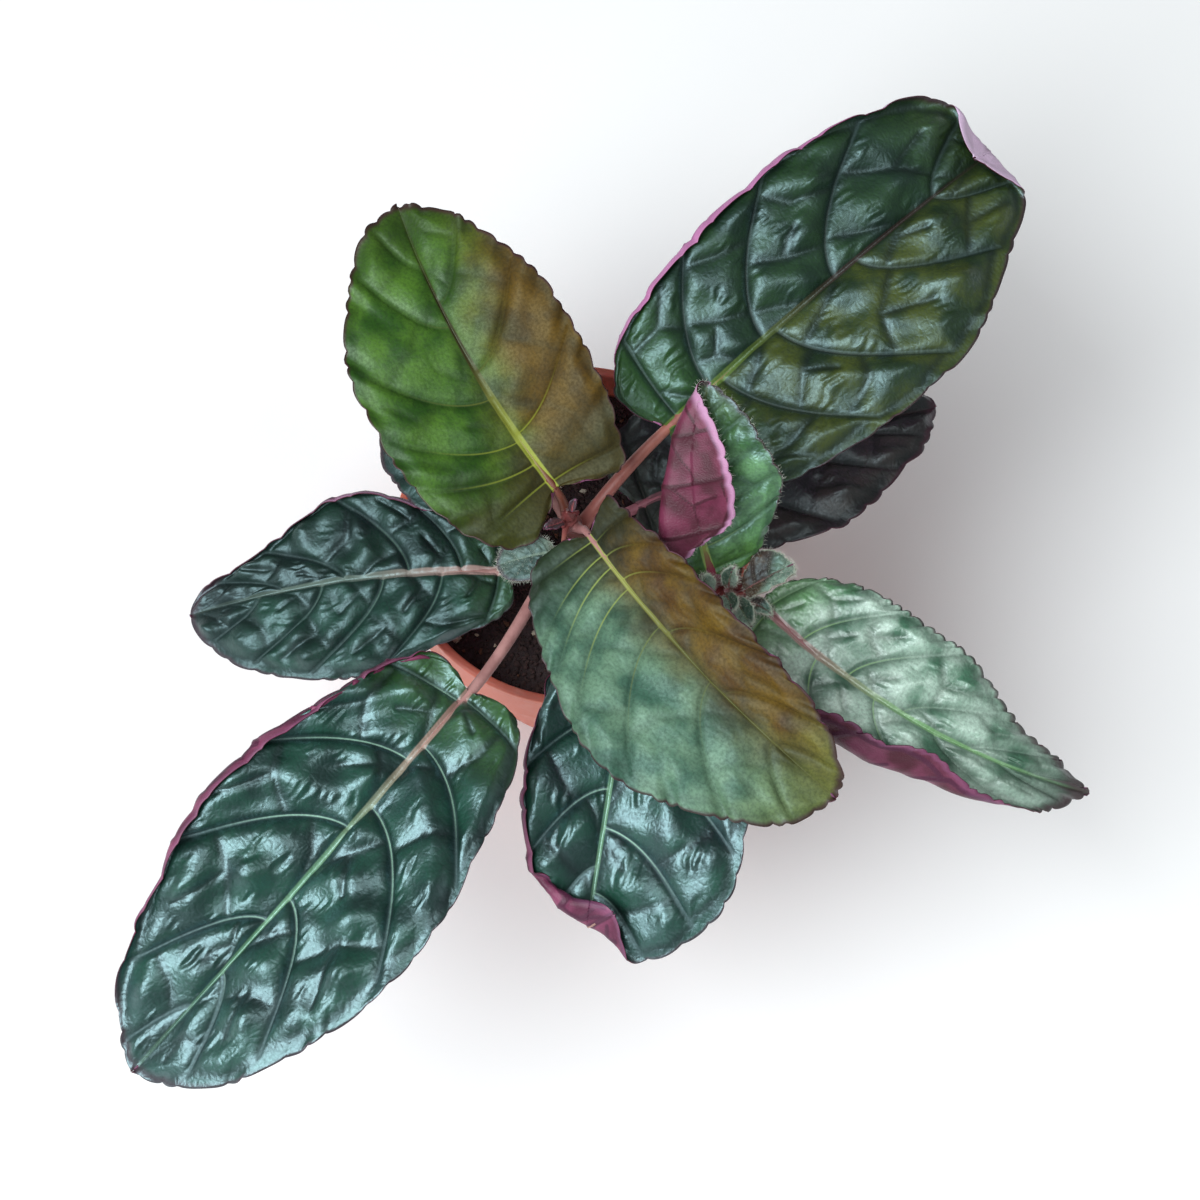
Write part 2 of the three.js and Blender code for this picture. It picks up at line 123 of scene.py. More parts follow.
# %% A material's nodes
class Nodes:
    """A material's node tree with short ways to add the nodes that this plant needs."""

    def __init__(self, name):
        self.material = bpy.data.materials.new(name)
        self.material.use_nodes = True
        self.tree = self.material.node_tree
        self.shader = self.tree.nodes["Principled BSDF"]

    def attribute(self, name, output="Fac"):
        return add_node(self.tree, "ShaderNodeAttribute", attribute_name=name).outputs[output]

    def place(self):
        return add_node(self.tree, "ShaderNodeTexCoord").outputs["Object"]

    def math(self, operation, first, second=0.0):
        return add_node(self.tree, "ShaderNodeMath", {0: first, 1: second}, operation=operation).outputs[0]

    def fade(self, value, low, high, start=0.0, end=1.0):
        """start below low, end above high, smooth between."""
        inputs = dict(enumerate((value, low, high, start, end)))
        return add_node(self.tree, "ShaderNodeMapRange", inputs, interpolation_type="SMOOTHSTEP").outputs[0]

    def noise(self, where, scale, detail=3.0, roughness=0.5, distortion=0.0):
        inputs = dict(Vector=where, Scale=scale, Detail=detail, Roughness=roughness, Distortion=distortion)
        return add_node(self.tree, "ShaderNodeTexNoise", inputs).outputs["Fac"]

    def cell_edges(self, where, scale):
        """The distance to the edges of irregular cells."""
        inputs = dict(Vector=where, Scale=scale)
        node = add_node(self.tree, "ShaderNodeTexVoronoi", inputs, feature="DISTANCE_TO_EDGE")
        return node.outputs["Distance"]

    def mix(self, share, first, second, blend="MIX"):
        inputs = dict(Factor=share, A=first, B=second)
        node = add_node(self.tree, "ShaderNodeMix", inputs, data_type="RGBA", blend_type=blend)
        return node.outputs["Result"]

    def bump(self, height, distance, strength=1.0):
        inputs = dict(Strength=strength, Distance=distance, Height=height)
        node = add_node(self.tree, "ShaderNodeBump", inputs)
        self.tree.links.new(node.outputs["Normal"], self.shader.inputs["Normal"])

    def finish(self, **sockets):
        for key, given in sockets.items():
            feed(self.tree, self.shader.inputs[key.replace("_", " ")], given)
        return self.material


# %% Floor
floor_nodes = Nodes("floor")
pale = floor_nodes.noise(floor_nodes.place(), 6, detail=2)
floor_paint = floor_nodes.finish(
    Base_Color=floor_nodes.mix(pale, paint(248, 248, 248), paint(252, 252, 252)), Roughness=0.9
)
FLOOR_HALF = 1.5
floor_mesh = bpy.data.meshes.new("floor")
floor_corners = [(-FLOOR_HALF, -FLOOR_HALF, 0), (FLOOR_HALF, -FLOOR_HALF, 0)]
floor_corners += [(FLOOR_HALF, FLOOR_HALF, 0), (-FLOOR_HALF, FLOOR_HALF, 0)]
floor_mesh.from_pydata(floor_corners, [], [(0, 1, 2, 3)])
floor_mesh.materials.append(floor_paint)
floor = bpy.data.objects.new("floor", floor_mesh)
bpy.context.scene.collection.objects.link(floor)
print("floor:", 2 * FLOOR_HALF, "m wide")


# %% Lights
def soft_panel(name, place, size, watts, colour):
    """A square panel that shines from place towards the plant."""
    light = bpy.data.lights.new(name, "AREA")
    light.shape = "SQUARE"
    light.size = size
    light.energy = watts
    light.color = colour
    holder = bpy.data.objects.new(name, light)
    holder.location = place
    holder.rotation_euler = (TARGET - Vector(place)).to_track_quat("-Z", "Y").to_euler()
    bpy.context.scene.collection.objects.link(holder)
    print(name + ":", watts, "W on a square", size, "m wide")


soft_panel("key_panel", (-0.8, -0.62, 1.5), 1.35, 42, (0.93, 0.98, 1.0))
soft_panel("side_panel", (0.5, -0.3, 1.3), 0.5, 3, (1.0, 0.99, 0.97))
world = bpy.data.worlds.new("studio")
world.use_nodes = True
world.node_tree.nodes["Background"].inputs["Color"].default_value = (0.95, 0.98, 1.0, 1.0)
world.node_tree.nodes["Background"].inputs["Strength"].default_value = 0.14
bpy.context.scene.world = world

# %% [markdown]
# ## Meshes from arrays
# Leaves, stems and the pot are all grids of points: rows along the piece and columns across or round it.
# Writing the points with numpy is quicker and more exact than pushing vertices about by hand, and the same
# few functions then close every grid into a solid with its faces outwards.


# %% Vectors and easing
def unit(vectors):
    return vectors / np.linalg.norm(vectors, axis=-1, keepdims=True)


def eased(share):
    """0 to 1 with a soft start and end."""
    return share * share * (3 - 2 * share)


# %% A piece from points and faces
def add_piece(name, points, faces, materials, face_materials=None, attributes=None):
    """A smooth-shaded mesh object from points in millimetres; attributes holds values for every point."""
    mesh = bpy.data.meshes.new(name)
    mesh.from_pydata((points * MM).tolist(), [], faces)
    for material in materials:
        mesh.materials.append(material)
    if face_materials is not None:
        mesh.polygons.foreach_set("material_index", np.asarray(face_materials, np.int32))
    for key, values in (attributes or {}).items():
        values = np.asarray(values, np.float32)
        kind, slot = ("FLOAT", "value") if values.ndim == 1 else ("FLOAT_VECTOR", "vector")
        mesh.attributes.new(key, kind, "POINT").data.foreach_set(slot, values.ravel())
    mesh.shade_smooth()
    mesh.update()
    piece = bpy.data.objects.new(name, mesh)
    bpy.context.scene.collection.objects.link(piece)
    return piece


# %% Round grids
def around(sides):
    """The angles of the columns of a closed round grid."""
    return np.linspace(0, 2 * np.pi, sides, endpoint=False)


def tube_faces(rings, sides, start=0):
    """Quads round a tube of rings, with one face over each end."""
    i, j = np.meshgrid(np.arange(rings - 1), np.arange(sides), indexing="ij")
    a = start + i * sides + j
    b = start + i * sides + (j + 1) % sides
    faces = np.stack([a, b, b + sides, a + sides], -1).reshape(-1, 4).tolist()
    faces.append(list(range(start + sides - 1, start - 1, -1)))
    faces.append(list(range(start + (rings - 1) * sides, start + rings * sides)))
    return faces


def rings_along(points, forward, radii, sides):
    """Rings of points round a line."""
    first = unit(np.cross([0.0, 1.0, 0.0], forward[0]))
    out = unit(first - forward * (forward @ first)[:, None])
    over = np.cross(forward, out)
    turn = around(sides)
    ring = out[:, None] * np.cos(turn)[None, :, None] + over[:, None] * np.sin(turn)[None, :, None]
    return points[:, None] + ring * np.reshape(radii, (len(points), -1, 1))


# %% Hand a piece over
def hand_over(piece, node=None):
    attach(piece, "root")
    if node:
        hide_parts(node)
    print(piece.name + ":", sum(len(face.vertices) - 2 for face in piece.data.polygons), "triangles")


# %% [markdown]
# ## The pot
# The pot is thin moulded plastic in a terracotta colour: a tapered cup below a wider collar, with a rounded
# lip. A turned profile is the natural way to make it. The profile is drawn once with rounded corners and
# swept round the axis; the drain holes in its base are cut with a Boolean, because a turned shape has none.

# %% Pot measures, as in the CAD source
POT_HEIGHT, RIM_RADIUS, BASE_RADIUS, WALL, DRAFT, BASE_THICK = 70, 38, 26.5, 1.6, 0.3, 2
COLLAR_HEIGHT, COLLAR_STEP, ROUNDING = 15, 2.6, 0.7
DRAIN_HOLES, DRAIN_RADIUS, DRAIN_CIRCLE = 6, 1.9, 20
STEP_Z = POT_HEIGHT - COLLAR_HEIGHT
CUP_RADIUS = RIM_RADIUS - COLLAR_STEP
POT_SIDES, DRILL_SIDES = 144, 24


# %% Rounded profile
def rounded_profile(corners, steps=5):
    """Replaces every corner (r, z, rounding) of an open line by a small arc."""
    line = []
    for k, (r, z, rounding) in enumerate(corners):
        here = np.array([r, z], float)
        if rounding == 0 or k in (0, len(corners) - 1):
            line.append(here)
            continue
        before = np.array(corners[k - 1][:2]) - here
        after = np.array(corners[k + 1][:2]) - here
        start = here + before / np.linalg.norm(before) * rounding
        end = here + after / np.linalg.norm(after) * rounding
        for t in np.linspace(0, 1, steps):
            line.append((1 - t) ** 2 * start + 2 * t * (1 - t) * here + t * t * end)
    return np.array(line)


POT_PROFILE = rounded_profile([
    (0.01, 0, 0), (BASE_RADIUS, 0, 1.2), (CUP_RADIUS, STEP_Z, 0.3),
    (RIM_RADIUS - 0.2, STEP_Z, 0.5), (RIM_RADIUS, STEP_Z + 1.5, 0.4), (RIM_RADIUS - 0.25, POT_HEIGHT - 3, 1),
    (RIM_RADIUS, POT_HEIGHT - 1.6, 0.6), (RIM_RADIUS, POT_HEIGHT, ROUNDING),
    (RIM_RADIUS - WALL - DRAFT, POT_HEIGHT, ROUNDING),
    (RIM_RADIUS - WALL - 2 * DRAFT, STEP_Z + ROUNDING, 0.4),
    (CUP_RADIUS - WALL, STEP_Z - ROUNDING, 0.4), (BASE_RADIUS - WALL, BASE_THICK, 0.8), (0.01, BASE_THICK, 0),
])
print("pot profile:", len(POT_PROFILE), "points")

# %% Terracotta plastic
pot_nodes = Nodes("terracotta_plastic")
where = pot_nodes.place()
blotches = pot_nodes.noise(where, 45, detail=4)
dust = pot_nodes.fade(pot_nodes.noise(where, 160, detail=5, roughness=0.65), 0.52, 0.75)
shell_colour = pot_nodes.mix(blotches, paint(222, 112, 88), paint(236, 142, 120))
shell_colour = pot_nodes.mix(pot_nodes.math("MULTIPLY", dust, 0.35), shell_colour, paint(240, 178, 160))
pot_nodes.bump(pot_nodes.noise(where, 900, detail=3), 0.0002, 0.35)
POT_PAINT = pot_nodes.finish(
    Base_Color=shell_colour,
    Roughness=pot_nodes.fade(blotches, 0.3, 0.7, 0.38, 0.55),
    Subsurface_Weight=0.08,
    Subsurface_Scale=0.002,
)

# %% Turn the pot
turn = around(POT_SIDES)
pot_points = np.stack([
    POT_PROFILE[:, :1] * np.cos(turn), POT_PROFILE[:, :1] * np.sin(turn),
    np.repeat(POT_PROFILE[:, 1:], POT_SIDES, 1),
], -1).reshape(-1, 3)
pot = add_piece("pot_shell", pot_points, tube_faces(len(POT_PROFILE), POT_SIDES), [POT_PAINT])

# %% Drill its drain holes
drill_points, drill_faces = [], []
for hole in range(DRAIN_HOLES):
    middle = 2 * np.pi * (hole + 0.5) / DRAIN_HOLES
    x = DRAIN_CIRCLE * np.cos(middle) + DRAIN_RADIUS * np.cos(around(DRILL_SIDES))
    y = DRAIN_CIRCLE * np.sin(middle) + DRAIN_RADIUS * np.sin(around(DRILL_SIDES))
    for z in (-BASE_THICK, 2 * BASE_THICK):
        drill_points.append(np.stack([x, y, np.full(DRILL_SIDES, float(z))], -1))
    drill_faces += tube_faces(2, DRILL_SIDES, start=2 * hole * DRILL_SIDES)
drill = add_piece("drill", np.concatenate(drill_points), drill_faces, [POT_PAINT])
cut = pot.modifiers.new("drain_holes", "BOOLEAN")
cut.operation, cut.solver, cut.object = "DIFFERENCE", "EXACT", drill


def bake_modifiers(piece):
    """Replaces a piece's mesh by what its modifiers make of it, and removes them."""
    view = bpy.context.evaluated_depsgraph_get()
    made = bpy.data.meshes.new_from_object(piece.evaluated_get(view))
    piece.modifiers.clear()
    piece.data = made


bake_modifiers(pot)
bpy.data.objects.remove(drill)
pot.data.shade_smooth()
hand_over(pot, "pot")

# %% [markdown]
# ## The soil
# Potting mix is a heap of peat crumbs, bark and white perlite. One lumpy solid carries the weight and the
# dark colour; the loose grains on it are made by Geometry Nodes, which scatter a small stone many times with
# its own size and turn each time. A scatter with a fixed seed gives the same soil in every run.

# %% Soil measures and surface
SOIL_TOP, SOIL_CROWN, SOIL_RADIUS, SOIL_FLOOR = 61, 2.4, 35.3, 2.4
SOIL_CLODS, CALM_MIDDLE = 1.1, 6
SOIL_LUMPS = ((5, 0.3), (2, 0.16))
SOIL_SEED = 11


def wander(places, size, seed, waves=9):
    """Smooth irregular values of about -1 to 1 over places, with bumps about size apart."""
    rng = np.random.default_rng(seed)
    ways = rng.normal(size=(waves, places.shape[-1]))
    ways = unit(ways) * (2 * np.pi / size) * rng.uniform(0.6, 1.4, (waves, 1))
    phases = rng.uniform(0, 2 * np.pi, waves)
    return np.sin(places @ ways.T + phases).sum(-1) / math.sqrt(waves)


def soil_height(x, y):
    """Height of the soil: a low crown with clods, and lumps of two sizes, calm at the wall and the middle."""
    r, turn = np.hypot(x, y), np.arctan2(y, x)
    inward = np.clip(1 - (r / SOIL_RADIUS) ** 2, 0, 1)
    clods = np.sin(turn * 5 + r / 2) * np.sin(turn * 3 - r / 3) * np.minimum(1, r / CALM_MIDDLE)
    coarse, fine = (wander(np.stack([x, y], -1), size, SOIL_SEED) * high for size, high in SOIL_LUMPS)
    return SOIL_TOP + SOIL_CROWN * inward + (SOIL_CLODS * clods + (coarse + fine)) * np.sqrt(inward)


# %% Soil colours
soil_nodes = Nodes("peat")
clumps = soil_nodes.noise(soil_nodes.place(), 260, detail=6, roughness=0.7)
soil_nodes.bump(clumps, 0.0015, 0.9)
PEAT = soil_nodes.finish(
    Base_Color=soil_nodes.mix(clumps, paint(24, 17, 18), paint(78, 62, 62)),
    Roughness=soil_nodes.fade(clumps, 0.3, 0.7, 0.95, 0.7),
)


def grain_paint(name, dark, light, roughness, scale):
    """A speckled, dusty grain; scale is that of the speckles, and its pits are four times finer."""
    nodes = Nodes(name)
    where = nodes.place()
    nodes.bump(nodes.noise(where, scale * 4, detail=2), 0.0002, 0.6)
    speckle = nodes.noise(where, scale, detail=4, roughness=0.6)
    return nodes.finish(Base_Color=nodes.mix(speckle, dark, light), Roughness=roughness)


CRUMB_PAINT = grain_paint("crumb_brown", *shades(22, 16, 17, 86, 66, 62), 0.9, 300)
PERLITE_PAINT = grain_paint("perlite_white", *shades(176, 168, 138, 236, 232, 214), 0.75, 500)
BARK_PAINT = grain_paint("bark_brown", *shades(60, 38, 30, 132, 92, 66), 0.85, 420)
print("soil paints:", [made.name for made in (PEAT, CRUMB_PAINT, PERLITE_PAINT, BARK_PAINT)])


# %% The soil body
def soil_rings(radii, sides):
    """Rings of points on the soil's surface."""
    turn = around(sides)
    x, y = (radii[:, None] * f(turn)[None] for f in (np.cos, np.sin))
    return np.stack([x, y, soil_height(x, y)], -1)


# The hidden side follows the pot's inside with a small gap.
SOIL_SIDE = (
    (BASE_RADIUS - WALL - 0.5, SOIL_FLOOR), (CUP_RADIUS - WALL - 0.6, STEP_Z - 1),
    (SOIL_RADIUS, STEP_Z + 2 * WALL),
)
RINGS_ACROSS, SOIL_SIDES = 72, 200
turn = around(SOIL_SIDES)
side = [np.stack([radius * np.cos(turn), radius * np.sin(turn), 0 * turn + z], -1) for radius, z in SOIL_SIDE]
top = soil_rings(SOIL_RADIUS * np.linspace(1, 0.01, RINGS_ACROSS), SOIL_SIDES)
body_rings = np.concatenate([np.array(side), top])
soil = add_piece("soil_body", body_rings.reshape(-1, 3), tube_faces(len(body_rings), SOIL_SIDES), [PEAT])
hand_over(soil, "soil")


# %% [markdown]
# ### Scattering with Geometry Nodes
# Crumbs, perlite and bark, and later the hairs of the young leaves, are made alike: points on a surface, a
# shape on every point with a random turn and size, then Realize Instances and Set Material. The named inputs
# of a tree are the number, the sizes and the seed, so every use only fills in those.

# %% What every scatter tree needs
def new_tree(name, **inputs):
    """An empty node group that takes and gives geometry; inputs names its other inputs' kinds."""
    tree = bpy.data.node_groups.new(name, "GeometryNodeTree")
    for label, kind in dict(Geometry="Geometry", **inputs).items():
        tree.interface.new_socket(label, in_out="INPUT", socket_type="NodeSocket" + kind)
    tree.interface.new_socket("Geometry", in_out="OUTPUT", socket_type="NodeSocketGeometry")
    return tree, tree.nodes.new("NodeGroupInput").outputs, tree.nodes.new("NodeGroupOutput").inputs[0]


def live(sockets):
    """The sockets that a node uses with its present settings."""
    return [socket for socket in sockets if socket.enabled]


def random_value(tree, low, high, seed, kind="FLOAT"):
    """A random value between low and high for every point."""
    node = add_node(tree, "FunctionNodeRandomValue", dict(Seed=seed), data_type=kind)
    for socket, given in zip(live(node.inputs), (low, high)):
        feed(tree, socket, given)
    return live(node.outputs)[0]


def strewn_points(tree, given, **more):
    """The outputs of points strewn over the tree's surface by its density and seed."""
    inputs = dict(Mesh=given["Geometry"], Density=given["Density"], Seed=given["Seed"], **more)
    return add_node(tree, "GeometryNodeDistributePointsOnFaces", inputs).outputs


# %% How every scatter tree ends
def stood_on(tree, points, shape, turn, size):
    """A shape on every point, turned and sized, as real geometry."""
    inputs = dict(Points=points["Points"], Instance=shape.outputs["Mesh"], Rotation=turn, Scale=size)
    stood = add_node(tree, "GeometryNodeInstanceOnPoints", inputs)
    return add_node(tree, "GeometryNodeRealizeInstances", {0: stood.outputs[0]}).outputs[0]


def painted_end(tree, geometry, given, result):
    """Gives the geometry its material and hands it out."""
    painted = add_node(tree, "GeometryNodeSetMaterial", dict(Geometry=geometry, Material=given["Paint"]))
    tree.links.new(painted.outputs[0], result)
    return tree


# %% Scatter tree for grains
FULL_TURN = 6.28
FLATTEST, ROUNDEST = (0.5, 0.6, 0.4), (1.0, 1.0, 0.8)
KNOCK_SCALE, KNOCK_DEPTH = 900, 0.9


def grain_tree():
    """Irregular little stones on a surface, knocked out of round by noise."""
    tree, given, result = new_tree(
        "grains", Density="Float", Smallest="Float", Largest="Float", Stretch="Float",
        Detail="Int", Seed="Int", Paint="Material",
    )

    def vectors(operation, inputs):
        return add_node(tree, "ShaderNodeVectorMath", inputs, operation=operation).outputs[0]

    stone = add_node(tree, "GeometryNodeMeshIcoSphere", dict(Radius=0.5, Subdivisions=given["Detail"]))
    size = random_value(tree, given["Smallest"], given["Largest"], given["Seed"])
    flat = random_value(tree, FLATTEST, ROUNDEST, given["Seed"], "FLOAT_VECTOR")
    turn = random_value(tree, (0, 0, 0), (FULL_TURN,) * 3, given["Seed"], "FLOAT_VECTOR")
    long = add_node(tree, "ShaderNodeCombineXYZ", dict(X=given["Stretch"], Y=1, Z=1)).outputs[0]
    scaled = vectors("SCALE", {0: vectors("MULTIPLY", {0: flat, 1: long}), "Scale": size})
    stones = stood_on(tree, strewn_points(tree, given), stone, turn, scaled)
    rough = add_node(tree, "ShaderNodeTexNoise", dict(Scale=KNOCK_SCALE)).outputs["Color"]
    depth = add_node(tree, "ShaderNodeMath", {0: given["Smallest"], 1: KNOCK_DEPTH}, operation="MULTIPLY")
    centred = vectors("SUBTRACT", {0: rough, 1: (0.5, 0.5, 0.5)})
    knock = vectors("SCALE", {0: centred, "Scale": depth.outputs[0]})
    knocked = add_node(tree, "GeometryNodeSetPosition", dict(Geometry=stones, Offset=knock)).outputs[0]
    return painted_end(tree, knocked, given, result)


# %% Run a tree and keep its mesh
def run_tree(name, ground, tree, values):
    """Runs a tree on a ground mesh and keeps the result as a plain mesh of its own; the ground goes."""
    modifier = ground.modifiers.new(name, "NODES")
    modifier.node_group = tree
    for item in tree.interface.items_tree:
        if item.item_type == "SOCKET" and item.in_out == "INPUT" and item.name in values:
            modifier[item.identifier] = values[item.name]
    bake_modifiers(ground)
    ground.name = ground.data.name = name
    return ground


# %% Crumbs, perlite and bark
# Density is per square metre and sizes are in metres; GRAIN_REACH is in millimetres.
GRAIN_TREE = grain_tree()
GRAIN_REACH, PATCH_RINGS, PATCH_SIDES = 34, 30, 80
GRAINS = {
    "soil_crumbs": dict(
        Density=1e6, Smallest=0.0006, Largest=0.0022, Stretch=1.1, Detail=1, Seed=3, Paint=CRUMB_PAINT,
    ),
    "perlite": dict(
        Density=1.6e4, Smallest=0.0011, Largest=0.0024, Stretch=1.0, Detail=2, Seed=8, Paint=PERLITE_PAINT,
    ),
    "bark_chips": dict(
        Density=3.2e4, Smallest=0.0010, Largest=0.0019, Stretch=2.6, Detail=1, Seed=5, Paint=BARK_PAINT,
    ),
}
patch_points = soil_rings(np.linspace(0.5, GRAIN_REACH, PATCH_RINGS), PATCH_SIDES).reshape(-1, 3)
for name, values in GRAINS.items():
    patch = add_piece("patch", patch_points, tube_faces(PATCH_RINGS, PATCH_SIDES)[:-2], [])
    hand_over(run_tree(name, patch, GRAIN_TREE, values))

# %% [markdown]
# ## The stems
# Each shoot is a soft square-ish stem with a swollen joint wherever a pair of leaves leaves it. It is a tube
# swept along the same curve as its CAD solid. The curve is a Catmull-Rom spline, which passes through every
# point that it is given, so the joints stay exactly where the leaves are attached.

# %% Stem measures
STEMS = {
    "main_stem": dict(places=[[3, -3, 58], [2.2, -5, 74], [0.5, -8.5, 92], [-0.8, -10.5, 107]],
                      radius=[2.3, 1.5], joints=[72, 81, 93, 103]),
    "side_stem": dict(places=[[10, -8, 58], [15, -11.5, 73], [24, -17, 88], [31.5, -22, 101]],
                      radius=[1.9, 1.2], joints=[70, 84, 98]),
}
STEM_RINGS, STEM_SIDES, FLUTE_DEPTH = 120, 24, 0.05
JOINT_SWELL, JOINT_REACH = 0.35, 2.6
WORLD_UP = np.array([0.0, 0.0, 1.0])


# %% A smooth line through points
def through(places, steps=400):
    """Points and forward directions evenly spaced along the centripetal Catmull-Rom spline through places."""
    places = np.array(places, float)
    padded = np.vstack([2 * places[0] - places[1], places, 2 * places[-1] - places[-2]])
    pieces = []
    for p0, p1, p2, p3 in zip(padded, padded[1:], padded[2:], padded[3:]):
        d0, d1, d2 = (np.linalg.norm(b - a) ** 0.5 for a, b in ((p0, p1), (p1, p2), (p2, p3)))
        m1 = ((p1 - p0) / d0 - (p2 - p0) / (d0 + d1) + (p2 - p1) / d1) * d1
        m2 = ((p2 - p1) / d1 - (p3 - p1) / (d1 + d2) + (p3 - p2) / d2) * d1
        t = np.linspace(0, 1, 60)[:, None]
        pieces.append((2 * t**3 - 3 * t**2 + 1) * p1 + (t**3 - 2 * t**2 + t) * m1
                      + (3 * t**2 - 2 * t**3) * p2 + (t**3 - t**2) * m2)
    return evenly(np.concatenate([piece[:-1] for piece in pieces] + [pieces[-1][-1:]]), steps)


def travelled(line):
    """The distance gone at every point of a line."""
    return np.concatenate([[0], np.cumsum(np.linalg.norm(np.diff(line, axis=0), axis=1))])


def evenly(line, steps):
    """Points and forward directions evenly spaced along a line."""
    gone = travelled(line)
    at = np.linspace(0, gone[-1], steps)
    points = np.stack([np.interp(at, gone, line[:, k]) for k in range(3)], -1)
    return points, unit(np.gradient(points, axis=0))


# %% Stem colours
def stem_paint(name, dark, light, green):
    """Streaked red skin with green patches."""
    nodes = Nodes(name)
    where = nodes.place()
    streaks = nodes.noise(where, 180, detail=4, distortion=0.6)
    patches = nodes.fade(nodes.noise(where, 70, detail=2), 0.5, 0.7)
    colour = nodes.mix(streaks, dark, light)
    colour = nodes.mix(nodes.math("MULTIPLY", patches, 0.55), colour, green)
    nodes.bump(nodes.noise(where, 700, detail=3), 0.0002, 0.5)
    return nodes.finish(Base_Color=colour, Roughness=nodes.fade(streaks, 0.3, 0.7, 0.4, 0.6))


STEM_PAINT = stem_paint("stem_red", paint(92, 40, 44), paint(160, 92, 88), paint(96, 104, 60))

# %% Sweep the stems
for name, stem in STEMS.items():
    points, forward = through(stem["places"], STEM_RINGS)
    nearest = np.min(np.abs(points[:, 2:] - np.array(stem["joints"])), axis=1)
    swell = 1 + JOINT_SWELL * np.exp(-((nearest / JOINT_REACH) ** 2) * 2)
    rings = rings_along(points, forward, np.linspace(*stem["radius"], STEM_RINGS) * swell, STEM_SIDES)
    flutes = 1 + FLUTE_DEPTH * np.cos(4 * around(STEM_SIDES))
    rings = points[:, None] + (rings - points[:, None]) * flutes[None, :, None]
    shoot = add_piece(name + "_skin", rings.reshape(-1, 3), tube_faces(STEM_RINGS, STEM_SIDES), [STEM_PAINT])
    hand_over(shoot, name)

# %% [markdown]
# ## The leaves
# A waffle plant is all about its leaves: long ovals whose skin bulges between sunken veins, like a quilt. The
# blade is drawn flat first. Rows of points start on the midrib and run out to the margin along the way the
# side veins take, and a row lies on every side vein, so a vein stays a clean line. The bulges come from the
# distance to the nearest vein. Then the flat blade is rolled, folded and bent into its place in space.

# %% What a leaf's measures mean
# Place: at is the share of its stem's length where it grows; base and tip are the ends of its midrib,
# which arches up by rise and aside by bow.
# Outline: left and right are half widths at even steps along the blade, lobe is how far the first rows
# reach back, teeth is the depth and spacing of the scallops, and ruffle the height of the margin's waves.
# Bends, as angles: roll turns the whole blade. fold lifts and cup curves its [left, right] half, and edge
# curls up its margin, outwards from the shares edge_from of its width. turns roll over all that lies beyond
# a line.
# Grid: step is the spacing of its points, stalk the petiole's radius at its foot and at the blade, and sides
# the number of points round it.
# Quilt: veins holds where side veins start, as shares of the midrib, on the [left, right] half. quilt is the
# height of the bulges, and roof their part between two side veins, highest the share crest of the way across.
# cells is the part and the reach of those between cross veins, cell their width, and calm how far they sink
# at the tip. pleats is the depth of even fine pleats, and None gives patches of them.
# The places and sizes began as those of the CAD source and then follow the plant more closely.
USUAL_LEAF = dict(
    stem="main_stem", slot="leaf_green", step=0.52, stalk=(1.45, 1.05), sides=16,
    bow=0, roll=0, fold=[4, 4], cup=[12, 12], edge=[0, 0], edge_radius=1.3, turns=[],
    teeth=[0.5, 6], ruffle=0.5, cell=10, crest=0.5, roof=0.62, cells=(0.3, 2.2), calm=0, pleats=None,
)
GLOSSY_LEAF = dict(USUAL_LEAF, look="teal", cell=12, crest=0.34, roof=0.9, cells=(0.4, 2.8), calm=0.5)
YOUNG_LEAF = dict(
    USUAL_LEAF, stem="side_stem", slot="leaf_downy", step=0.2, stalk=(0.55, 0.4), sides=10,
    rise=0.4, lobe=0.3, cup=[20, 20], veins=[[0.3, 0.7], [0.15, 0.5]], quilt=0.5, teeth=[0.2, 1], ruffle=0.2,
    look="frosted",
)
TIP_LEAF = dict(YOUNG_LEAF, step=0.16, stalk=(0.45, 0.3), bow=0.3, fold=[20, 20])
BRACT = dict(TIP_LEAF, stem="main_stem", bow=0.2, fold=[30, 30], quilt=0.3, teeth=[0.1, 1], ruffle=0.15,
             look="red_bract")


def turned(at, toward, radius, by, wave=0.0):
    """A roll of all beyond a line: at (share of the midrib, left), towards an angle, wavy by wave."""
    return dict(at=at, toward=toward, radius=radius, by=by, wave=wave)


def even(*widths):
    """The same half widths on both sides."""
    return dict(left=list(widths), right=list(widths))


